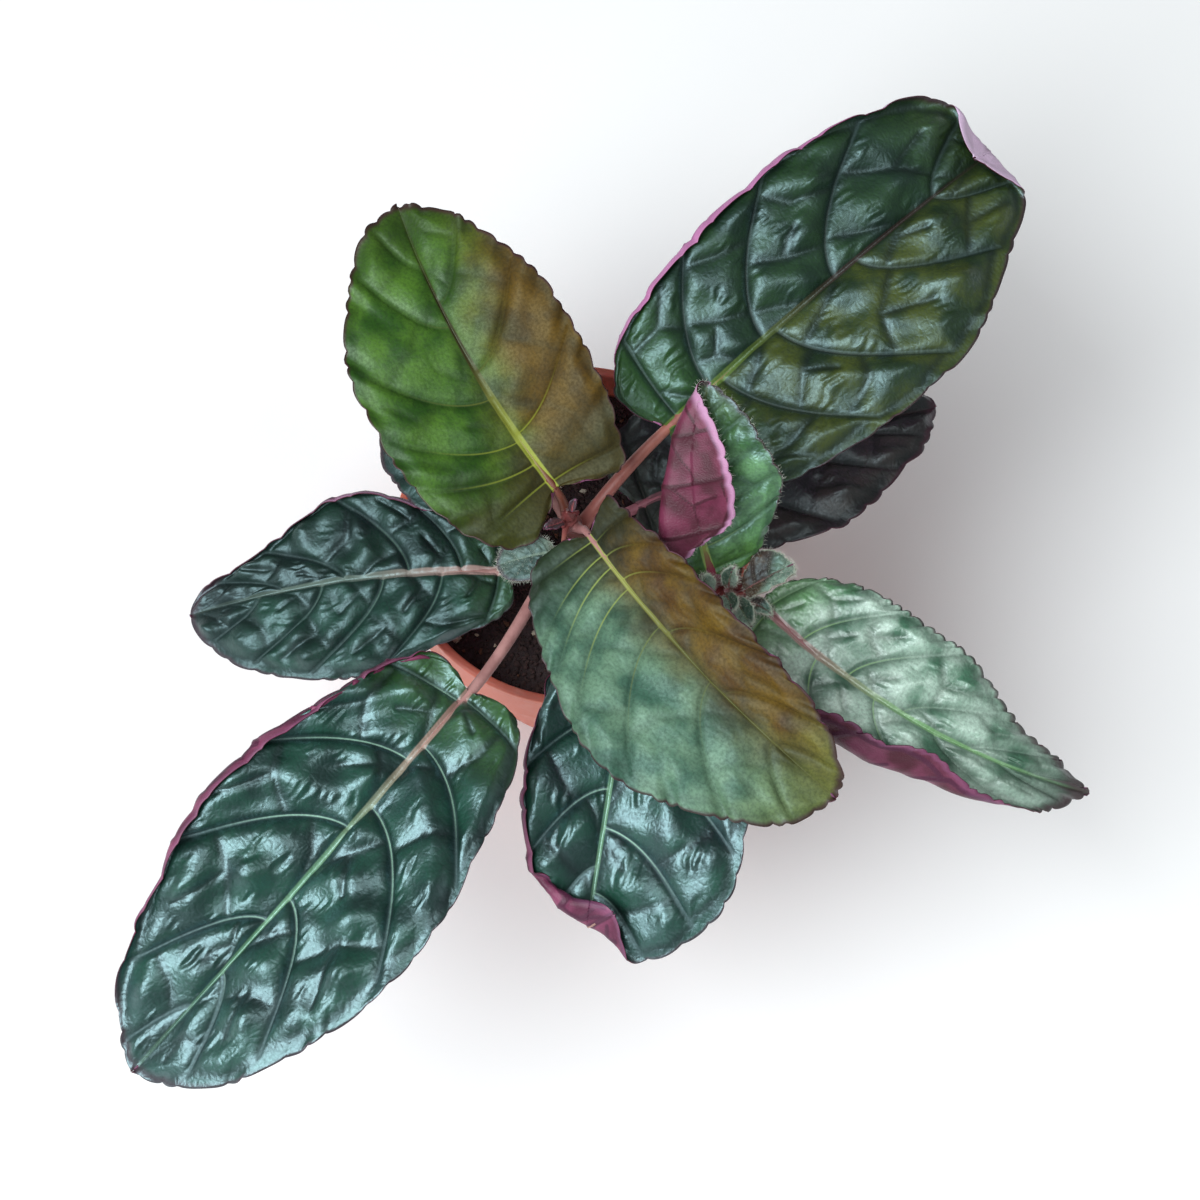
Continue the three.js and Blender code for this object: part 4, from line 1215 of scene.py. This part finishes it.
# %% [markdown]
# ### The petiole
# The stalk of a leaf leaves the stem sideways, bends over and runs on under the blade as the midrib. It is
# one tube on a Bezier curve whose radius shrinks towards the leaf's tip; from above only the stalk shows,
# and from below it is the rib that carries the blade.

# %% The stalk's curve
SLOPE, PULL, SUNK, STALK_STEP = 0.6, 0.38, 0.4, 1.6
FOOT_IN, FOOT_SWELL, FOOT_REACH, JOINT_PART = 0.3, 0.35, 1.2, 0.4
RIB_POINTS, RIB_END, RIB_TIP, RIB_TAPER = 60, 0.93, 0.1, 0.8
RIB_SINKS, RIB_CLEAR, CLEAR_SOON = 2.2, 0.14, 5


def stalk_curve(leaf, sunk):
    """The stalk's line from inside the stem to under the blade's base."""
    stem = STEMS[leaf["stem"]]
    points, forwards = through(stem["places"])
    at = int(round(leaf["at"] * (len(points) - 1)))
    middle, forward = points[at], forwards[at]
    out = np.array(leaf["base"], float) - middle
    out = unit(out - forward * (out @ forward))
    bark = np.interp(leaf["at"], [0, 1], stem["radius"]) * (1 + JOINT_SWELL * JOINT_PART)
    foot = middle + out * (bark - FOOT_IN)
    base, ahead, _, over = (np.asarray(v) for v in midrib_frame(leaf, 0.0))
    reach = np.linalg.norm(base - foot) * PULL
    handles = [foot, foot + unit(out + WORLD_UP * SLOPE) * reach, base - ahead * reach, base]
    t = np.linspace(0, 1, 200)[:, None]
    weights = (1 - t) ** 3, 3 * t * (1 - t) ** 2, 3 * t**2 * (1 - t), t**3
    curve = sum(weight * handle for weight, handle in zip(weights, handles))
    return curve - over * sunk * t


# %% Petiole tube
def petiole_tube(leaf, grid):
    """Rings of points of the stalk and the rib under the blade, and the shares of the midrib gone there."""
    foot_radius, base_radius = leaf["stalk"]
    curve = stalk_curve(leaf, base_radius * SUNK)
    length = midrib_length(leaf)
    shares = np.linspace(0.01, RIB_END, RIB_POINTS)
    rib_radius = base_radius * ((1 - shares) ** RIB_TAPER * (1 - RIB_TIP) + RIB_TIP)
    columns, half_way = grid["left"].shape[1], grid["left"][len(grid["left"]) // 2, ::-1]
    middle = columns - int(np.argmin(np.abs(half_way))) - 1
    crest = np.interp(length * shares, grid["along"][:, middle], grid["height"][:, middle])
    sunk = rib_radius * np.clip(SUNK + RIB_SINKS * shares, 0, 1)
    sunk = sunk + RIB_CLEAR * np.clip(shares * CLEAR_SOON, 0, 1)
    under = in_space(leaf, length * shares, 0 * shares, crest - sunk)
    line = np.concatenate([curve[:-1], under])
    gone = travelled(line)
    stalk = gone[len(curve) - 1]
    count = int(gone[-1] / (leaf["step"] * STALK_STEP))
    centre, ways = evenly(line, count)
    at = np.linspace(0, gone[-1], count)
    size = np.where(at < stalk, foot_radius + (base_radius - foot_radius) * at / stalk,
                    np.interp(at, gone[len(curve) - 1:], rib_radius))
    size = size * (1 + FOOT_SWELL * np.exp(-at / FOOT_REACH))
    return rings_along(centre, ways, size, leaf["sides"]), (at - stalk) / length


# %% [markdown]
# ### Leaf colours
# Every leaf gets an upper skin, a purple underside, a dark margin line and a petiole, all procedural. The
# upper skin mixes two greens by soft noise, each half of the blade its own, paints shade into the creases
# along the veins, and draws the midrib and side veins from the stored distances. The tiny cells of the skin
# are a bump.

# %% What a leaf's look means
# left and right are the two greens of each half, split at (offset, slope, softness) from the midrib; in some
# looks they also hold painted sheen or painted shade. base and tip tint the blade's ends, in some looks with
# a painted shadow or painted shade, rib colours the midrib at its base and its tip, and vein the side veins,
# vein_base near the midrib's base. valley says how strongly shade is painted into the creases along the
# veins; gloss is the roughness of the left and the right half; shine, ior, sheen and glint say how strongly
# and in what tint the skin mirrors, and grain how strong its finest bumps are.
# margin is the rim's colour, and band that of its edge. Below, under is the underside's two purples,
# under_vein its veins and lace its rim, which becomes lace_tip towards the tip. A reach is in millimetres.
USUAL_LOOK = dict(
    split=(0.0, 0.0, 0.05), rib_width=(0.075, 0.02), vein_base=None, grain=0.25,
    margin=paint(58, 22, 36), margin_reach=(0.1, 0.55), band=paint(56, 18, 32),
    shine=0.95, ior=1.6, sheen=0.12, glint=(0.62, 0.93, 1.0, 1.0),
    under_vein=paint(70, 20, 50), under_reach=(0.34, 0.7),
    lace=paint(150, 96, 132), lace_tip=None, lace_reach=(0.2, 0.9, 0.35),
)


def leaf_look(left, right=None, gloss=0.5, **rest):
    """A look: its own values over the usual ones. One pair of greens or one gloss does for both halves."""
    gloss = gloss if isinstance(gloss, tuple) else (gloss, gloss)
    return {**USUAL_LOOK, "left": left, "right": right or left, "gloss": gloss, **rest}


# %% Looks of the large leaves
LOOKS = {
    # Painted highlight: this look's pale side veins, drawn strongly, are partly the veins' own pale green and
    # partly painted highlights along them.
    "teal": leaf_look(
        shades(10, 42, 32, 26, 72, 54), base=paint(60, 100, 40), tip=paint(40, 80, 70),
        rib=shades(176, 140, 128, 120, 160, 124), vein=paint(150, 190, 162), vein_strength=0.75,
        valley=0.75, gloss=0.38, shine=1.0, ior=1.72,
        under=shades(88, 28, 58, 136, 62, 96), stalk=shades(150, 92, 88, 178, 132, 128),
    ),
    # Painted shade: this look's right half is painted darker than its left, and its tip nearly black, where
    # the blade tilts and droops away from the light.
    "teal_grey": leaf_look(
        shades(12, 42, 30, 26, 66, 50), shades(10, 32, 24, 22, 52, 38),
        base=paint(48, 84, 44), tip=paint(20, 28, 26),
        rib=shades(170, 140, 132, 96, 110, 100), vein=paint(100, 136, 112), vein_strength=0.35,
        valley=0.6, gloss=0.46, shine=0.75, lace=paint(190, 150, 186),
        under=shades(110, 50, 84, 160, 104, 140), stalk=shades(150, 96, 92, 170, 130, 124),
    ),
    "dark_teal": leaf_look(
        shades(18, 42, 20, 38, 66, 32), shades(30, 48, 12, 72, 82, 18),
        base=paint(52, 92, 34), tip=paint(62, 78, 30),
        rib=shades(98, 124, 44, 60, 44, 38), vein=paint(40, 40, 28), vein_strength=0.6,
        valley=0.7, gloss=0.42, shine=0.85,
        under=shades(150, 90, 134, 190, 146, 186), stalk=shades(172, 92, 88, 168, 104, 92),
        lace=paint(186, 116, 164), lace_tip=paint(226, 200, 228), lace_reach=(0.8, 3.5, 0.85),
    ),
    "bronze_back": leaf_look(
        shades(40, 78, 20, 78, 118, 38), shades(70, 46, 4, 100, 72, 6), split=(-0.5, 2.0, 0.9),
        base=paint(58, 50, 14), tip=paint(58, 82, 22), rib=shades(150, 158, 58, 52, 42, 22),
        vein=paint(84, 82, 34), vein_base=paint(150, 160, 50), vein_strength=0.5,
        valley=0.3, gloss=(0.44, 0.62), shine=0.5, ior=1.5, glint=(0.8, 1.0, 0.8, 1.0), sheen=0.0, grain=0.12,
        under=shades(110, 50, 90, 160, 96, 140), stalk=shades(88, 38, 40, 110, 60, 44),
    ),
    # Painted shadow and sheen: the very dark olive at this look's base is a painted shadow, the one that the
    # upright leaf casts there, and its pale teal half is partly the leaf's own teal and partly a painted
    # sheen.
    "bronze_front": leaf_look(
        shades(80, 48, 0, 108, 80, 4), shades(58, 96, 78, 106, 140, 114), split=(-0.2, 0.0, 0.7),
        base=paint(30, 34, 6), tip=paint(112, 124, 56), rib=shades(160, 164, 88, 90, 88, 40),
        rib_width=(0.05, 0.012), vein=paint(96, 106, 60), vein_base=paint(160, 176, 84), vein_strength=0.6,
        valley=0.28, gloss=(0.62, 0.46), shine=0.48, ior=1.5, glint=(0.75, 1.0, 0.95, 1.0),
        sheen=0.0, grain=0.12,
        under=shades(110, 50, 90, 170, 96, 150), stalk=shades(130, 70, 74, 170, 120, 118),
    ),
    # Painted shade: this look's near-black greens are partly the aged leaf's own dark colour and partly
    # painted shade, for the leaf lies under the one at the back right.
    "old": leaf_look(
        shades(18, 24, 22, 42, 50, 46), shades(24, 24, 22, 54, 46, 42),
        base=paint(58, 66, 52), tip=paint(46, 34, 36), rib=shades(150, 100, 108, 66, 44, 46),
        vein=paint(82, 74, 66), vein_strength=0.4, valley=0.6, gloss=0.46, shine=0.6,
        glint=(0.8, 0.95, 1.0, 1.0), sheen=0.0,
        under=shades(96, 36, 66, 150, 76, 110), stalk=shades(190, 120, 132, 190, 120, 132),
    ),
    # Painted sheen: this look's light green, nearly white, is partly the leaf's own pale green and partly a
    # painted sheen, laid in soft patches.
    "mint": leaf_look(
        shades(66, 122, 92, 196, 226, 208), base=paint(104, 168, 96), tip=paint(34, 56, 38),
        rib=shades(176, 128, 130, 130, 176, 120), vein=paint(140, 190, 104), vein_strength=0.7,
        valley=0.5, gloss=0.44, glint=(0.9, 1.0, 0.97, 1.0), shine=1.0, ior=1.75, lace=paint(150, 92, 132),
        under=shades(70, 18, 36, 116, 52, 80), stalk=shades(150, 88, 94, 166, 118, 120),
    ),
    "young_green": leaf_look(
        shades(62, 108, 54, 112, 160, 108), base=paint(96, 150, 60), tip=paint(84, 92, 40),
        rib=shades(150, 176, 90, 120, 120, 60), vein=paint(150, 172, 90), vein_strength=0.5,
        valley=0.5, gloss=0.4,
        under=shades(72, 16, 36, 112, 42, 70), under_vein=paint(58, 2, 24), under_reach=(0.2, 0.46),
        lace=paint(206, 150, 190), lace_reach=(0.4, 1.6, 0.8), stalk=shades(130, 36, 62, 140, 50, 76),
    ),
}

# %% Looks of the small leaves
PALE_RIM, BROWN_RIM = paint(200, 210, 190), paint(180, 190, 168)
LOOKS |= {
    "downy": leaf_look(
        shades(66, 88, 76, 116, 138, 122), base=paint(110, 108, 80), tip=paint(100, 116, 96),
        rib=shades(110, 124, 104, 96, 112, 96), rib_width=(0.02, 0.006),
        vein=paint(92, 108, 88), vein_strength=0.4, valley=0.4, gloss=0.6,
        under=shades(130, 70, 90, 180, 120, 140), stalk=shades(140, 60, 62, 150, 100, 84),
    ),
    # Painted shade: the dark brown of this look's left half is partly the young leaf's own brown and partly
    # painted shade on that half.
    "downy_brown": leaf_look(
        shades(66, 28, 8, 112, 74, 28), shades(90, 126, 104, 172, 200, 180), split=(0.0, -1.3, 0.2),
        base=paint(104, 66, 36), tip=paint(160, 176, 156),
        rib=shades(150, 60, 56, 96, 60, 50), rib_width=(0.02, 0.006),
        vein=paint(70, 60, 44), vein_strength=0.4, valley=0.3, gloss=0.55,
        margin=BROWN_RIM, margin_reach=(0.02, 0.26), band=BROWN_RIM,
        under=shades(130, 50, 70, 180, 90, 110), stalk=shades(150, 50, 54, 150, 60, 60),
    ),
    "red_bract": leaf_look(
        shades(96, 22, 32, 160, 62, 70), shades(96, 22, 32, 170, 76, 80), base=paint(120, 50, 50),
        tip=paint(150, 120, 60), rib=shades(170, 80, 84, 140, 60, 60), rib_width=(0.012, 0.005),
        vein=paint(150, 80, 80), vein_strength=0.3, valley=0.6,
        under=shades(150, 50, 70, 196, 100, 120), stalk=shades(130, 40, 46, 150, 60, 60),
    ),
    "frosted": leaf_look(
        shades(64, 94, 66, 186, 212, 188), shades(92, 124, 98, 192, 212, 192), base=paint(130, 90, 80),
        tip=paint(190, 206, 188), rib=shades(150, 80, 80, 120, 130, 100), rib_width=(0.015, 0.005),
        vein=paint(60, 70, 56), vein_strength=0.5, valley=0.25, gloss=0.6,
        margin=PALE_RIM, margin_reach=(0.02, 0.26), band=PALE_RIM,
        under=shades(150, 70, 90, 196, 130, 140), stalk=shades(150, 50, 54, 150, 60, 60),
    ),
}
print("looks:", ", ".join(LOOKS))


# %% The two halves and the veins
def half_share(nodes, look, blade, left, length):
    """A value that rises from the blade's right half to its left, and where its rise starts and ends."""
    offset, slope, soft = look["split"]
    lean = nodes.math("MULTIPLY", nodes.math("SUBTRACT", 0.5, length), slope)
    share = nodes.math("SUBTRACT", nodes.math("SUBTRACT", left, offset), lean)
    share = nodes.math("ADD", share, nodes.math("MULTIPLY", nodes.noise(blade, 1.3), soft))
    return share, -soft / 2, soft * 1.5


def draw_veins(nodes, look, colour, left, length, side_vein, rim):
    """The colour with the side veins and then the midrib drawn on it."""
    near_vein = nodes.fade(side_vein, 0.05, 0.24, look["vein_strength"], 0.0)
    inside = nodes.fade(rim, 4.0, 18.0)
    vein_colour = nodes.mix(nodes.fade(length, 0.12, 0.42), look["vein_base"] or look["vein"], look["vein"])
    colour = nodes.mix(nodes.math("MULTIPLY", near_vein, inside), colour, vein_colour)
    width = nodes.fade(length, 0.0, 0.9, *look["rib_width"])
    beside_rib = nodes.math("SUBTRACT", nodes.math("ABSOLUTE", left), width)
    fading = nodes.fade(length, 0.62, 0.95, 1, 0.25)
    on_rib = nodes.math("MULTIPLY", nodes.fade(beside_rib, 0.0, 0.03, 0.92, 0.0), fading)
    return nodes.mix(on_rib, colour, nodes.mix(nodes.fade(length, 0.05, 0.5), *look["rib"]))


# %% Paint of the upper skin
def upper_skin(name, look):
    nodes = Nodes(name + "_upper")
    blade = nodes.attribute("blade", "Vector")
    left = add_node(nodes.tree, "ShaderNodeSeparateXYZ", {0: blade}).outputs["Y"]
    length, net, rim, side_vein = (nodes.attribute(key) for key in ("length", "net", "rim", "side_vein"))
    # Soft noise patches mix each half's dark and light green; where a look's light green holds a painted
    # sheen, the sheen lies in these patches.
    patches = nodes.fade(nodes.noise(blade, 1.1, detail=3), 0.36, 0.64)
    halves = half_share(nodes, look, blade, left, length)
    right_green, left_green = (nodes.mix(patches, *look[side]) for side in ("right", "left"))
    colour = nodes.mix(nodes.fade(*halves), right_green, left_green)
    wavy = nodes.math("ADD", length, nodes.math("MULTIPLY", nodes.noise(blade, 2.2), 0.12))
    colour = nodes.mix(nodes.fade(wavy, 0.08, 0.26, 0.85, 0.0), colour, look["base"])
    colour = nodes.mix(nodes.fade(wavy, 0.78, 1.06, 0.0, 0.7), colour, look["tip"])
    mottle = nodes.noise(blade, 16, detail=4, roughness=0.6)
    colour = nodes.mix(nodes.fade(mottle, 0.35, 0.7, 0.0, 0.35), colour, paint(20, 34, 26), "MULTIPLY")
    # Painted shade: the skin is darkened near every vein, in the creases of the quilt, by multiplying with a
    # grey green.
    valley = nodes.fade(net, 0.1, 1.5, look["valley"], 0.0)
    colour = nodes.mix(valley, colour, paint(70, 84, 70), "MULTIPLY")
    colour = draw_veins(nodes, look, colour, left, length, side_vein, rim)
    colour = nodes.mix(nodes.fade(rim, *look["margin_reach"], 0.85, 0.0), colour, look["margin"])
    cells = nodes.math("MULTIPLY", nodes.fade(nodes.cell_edges(blade, 7), 0.0, 0.3), 0.5)
    nodes.bump(nodes.math("ADD", cells, nodes.noise(blade, 12, detail=3)), 0.0003, look["grain"])
    rough = nodes.fade(*halves, *reversed(look["gloss"]))
    rough = nodes.math("ADD", rough, nodes.fade(mottle, 0.3, 0.7, -0.05, 0.08))
    rough = nodes.math("ADD", rough, nodes.fade(side_vein, 0.1, 0.7, 0.3, 0.0))
    return nodes.finish(
        Base_Color=colour, Roughness=rough, IOR=look["ior"], Coat_Weight=look["sheen"], Coat_IOR=1.65,
        Coat_Roughness=0.5, Specular_IOR_Level=look["shine"], Specular_Tint=look["glint"],
    )


# %% Paints of the underside, the margin and the stalk
def under_skin(name, look):
    nodes = Nodes(name + "_under")
    blade = nodes.attribute("blade", "Vector")
    colour = nodes.mix(nodes.fade(nodes.noise(blade, 1.6, detail=4), 0.35, 0.65), *look["under"])
    veins = nodes.fade(nodes.attribute("net"), *look["under_reach"], 0.85, 0.0)
    colour = nodes.mix(veins, colour, look["under_vein"])
    to_tip = nodes.fade(nodes.attribute("length"), 0.72, 0.86)
    lace = nodes.mix(to_tip, look["lace"], look["lace_tip"] or look["lace"])
    colour = nodes.mix(nodes.fade(nodes.attribute("rim"), *look["lace_reach"], 0.0), colour, lace)
    nodes.bump(nodes.noise(blade, 30, detail=3), 0.0003, 0.4)
    return nodes.finish(Base_Color=colour, Roughness=0.5)


def margin_skin(name, look):
    nodes = Nodes(name + "_margin")
    patches = nodes.noise(nodes.attribute("blade", "Vector"), 4)
    return nodes.finish(Base_Color=nodes.mix(patches, look["band"], paint(96, 36, 60)), Roughness=0.5)


def stalk_skin(name, look):
    nodes = Nodes(name + "_stalk")
    where = nodes.place()
    length = nodes.attribute("length")
    colour = nodes.mix(nodes.fade(length, -0.7, 0.0), *look["stalk"])
    colour = nodes.mix(nodes.fade(length, 0.0, 0.2), colour, look["rib"][0])
    streaks = nodes.fade(nodes.noise(where, 240, detail=4), 0.4, 0.65, 0.0, 0.45)
    colour = nodes.mix(streaks, colour, paint(110, 62, 60))
    nodes.bump(nodes.noise(where, 900, detail=2), 0.0002, 0.4)
    return nodes.finish(Base_Color=colour, Roughness=0.48)


# %% Make the leaves
FAR_FROM_VEINS = 9.0


def make_leaf(name, leaf, seed):
    """A blade and its petiole as one mesh with four skins, and with the values that they read."""
    grid = blade_grid(leaf, seed)
    points, faces, paints, values = blade_solid(leaf, grid)
    rings, distance = petiole_tube(leaf, grid)
    tube = tube_faces(len(rings), leaf["sides"], start=len(points))
    count = len(rings) * leaf["sides"]
    far = np.full(count, FAR_FROM_VEINS)
    length = np.repeat(distance, leaf["sides"])
    on_stalk = dict(net=far, side_vein=far, rim=far, length=length, blade=np.zeros((count, 3)))
    return add_piece(
        name + "_blade", np.concatenate([points, rings.reshape(-1, 3)]), faces + tube,
        [skin(name, LOOKS[leaf["look"]]) for skin in (upper_skin, under_skin, margin_skin, stalk_skin)],
        np.concatenate([paints, np.full(len(tube), 3)]),
        {key: np.concatenate([values[key], on_stalk[key]]) for key in values},
    )


for leaves, first_seed in ((LEAVES, 20), (YOUNG_LEAVES, 50), (TIP_LEAVES, 70)):
    for seed, (name, leaf) in enumerate(leaves.items(), first_seed):
        hand_over(make_leaf(name, leaf, seed), name if name in frame["nodes"] else None)

# %% [markdown]
# ### Down and fringe
# Young leaves of this plant are covered in short pale hairs, densest along the margin. Each hair is a thin
# three-sided cone. Geometry Nodes stand the cones on the skin, tilt each a little, and realize them, once
# sparsely all over the blade and once closely along the margin, which the stored rim distance picks out.

# %% Hair tree
HAIR_TILT, SHORTEST_HAIR = 0.6, 0.5


def hair_tree():
    """Thin cones on a surface, where its rim value is below Reach."""
    tree, given, result = new_tree(
        "hairs", Density="Float", Length="Float", Radius="Float", Reach="Float", Seed="Int", Paint="Material",
    )
    rim = add_node(tree, "GeometryNodeInputNamedAttribute", dict(Name="rim"), data_type="FLOAT")
    near = add_node(tree, "FunctionNodeCompare", {0: live(rim.outputs)[0], 1: given["Reach"]},
                    data_type="FLOAT", operation="LESS_THAN")
    points = strewn_points(tree, given, Selection=near.outputs[0])
    cone = add_node(tree, "GeometryNodeMeshCone", {
        "Vertices": 3, "Radius Top": 0, "Radius Bottom": given["Radius"], "Depth": given["Length"],
    })
    lean = (-HAIR_TILT, -HAIR_TILT, 0), (HAIR_TILT, HAIR_TILT, FULL_TURN)
    tilt = random_value(tree, *lean, given["Seed"], "FLOAT_VECTOR")
    turns = {0: points["Rotation"], 1: tilt}
    turn = add_node(tree, "FunctionNodeRotateRotation", turns, rotation_space="LOCAL")
    size = random_value(tree, SHORTEST_HAIR, 1.0, given["Seed"])
    return painted_end(tree, stood_on(tree, points, cone, turn.outputs[0], size), given, result)


# %% Grow the down and the fringe
HAIR_TREE = hair_tree()
hair_nodes = Nodes("pale_down")
speckle = hair_nodes.noise(hair_nodes.place(), 900)
HAIR_PAINT = hair_nodes.finish(
    Base_Color=hair_nodes.mix(speckle, *shades(190, 200, 180, 240, 240, 232)), Roughness=0.6,
)
# Density is per square metre and sizes are in metres; Reach is in millimetres, as the stored rim distance is.
DOWN = dict(Density=4.5e6, Length=0.0007, Radius=0.00002, Reach=5.0)
FRINGE = dict(Density=2.2e7, Length=0.0011, Radius=0.00003, Reach=0.12)
LONG_FRINGE = dict(Density=5e6, Length=0.0012, Radius=0.00003, Reach=0.2)
BALD = ("tip_leaf_d", "tip_leaf_e")


def grow_hairs(leaf_name, kind, values, seed):
    """Hairs on a copy of a leaf's mesh, which they then replace."""
    ground = bpy.data.objects[leaf_name + "_blade"].copy()
    ground.data = ground.data.copy()
    bpy.context.scene.collection.objects.link(ground)
    hairs = run_tree(leaf_name + kind, ground, HAIR_TREE, dict(values, Seed=seed, Paint=HAIR_PAINT))
    hand_over(hairs)


for seed, leaf_name in enumerate([*YOUNG_LEAVES, *TIP_LEAVES]):
    if leaf_name not in BALD:
        grow_hairs(leaf_name, "_down", DOWN, seed)
        grow_hairs(leaf_name, "_fringe", FRINGE, seed)
grow_hairs("leaf_upright", "_fringe", LONG_FRINGE, 9)

# %% [markdown]
# ### The buds
# At each growing tip the next leaves are still folded into a small reddish bud. The CAD solid is fine enough
# for so small a piece, so it stays as it is and only gets a skin like that of the stems.

# %% Paint the buds
BUD_PAINT = stem_paint("bud_skin", paint(74, 20, 26), paint(150, 76, 72), paint(150, 120, 60))
for name in ("main", "side"):
    bud = frame["nodes"][name + "_bud"]
    bud.data.materials.clear()
    bud.data.materials.append(BUD_PAINT)
print("buds painted:", BUD_PAINT.name)
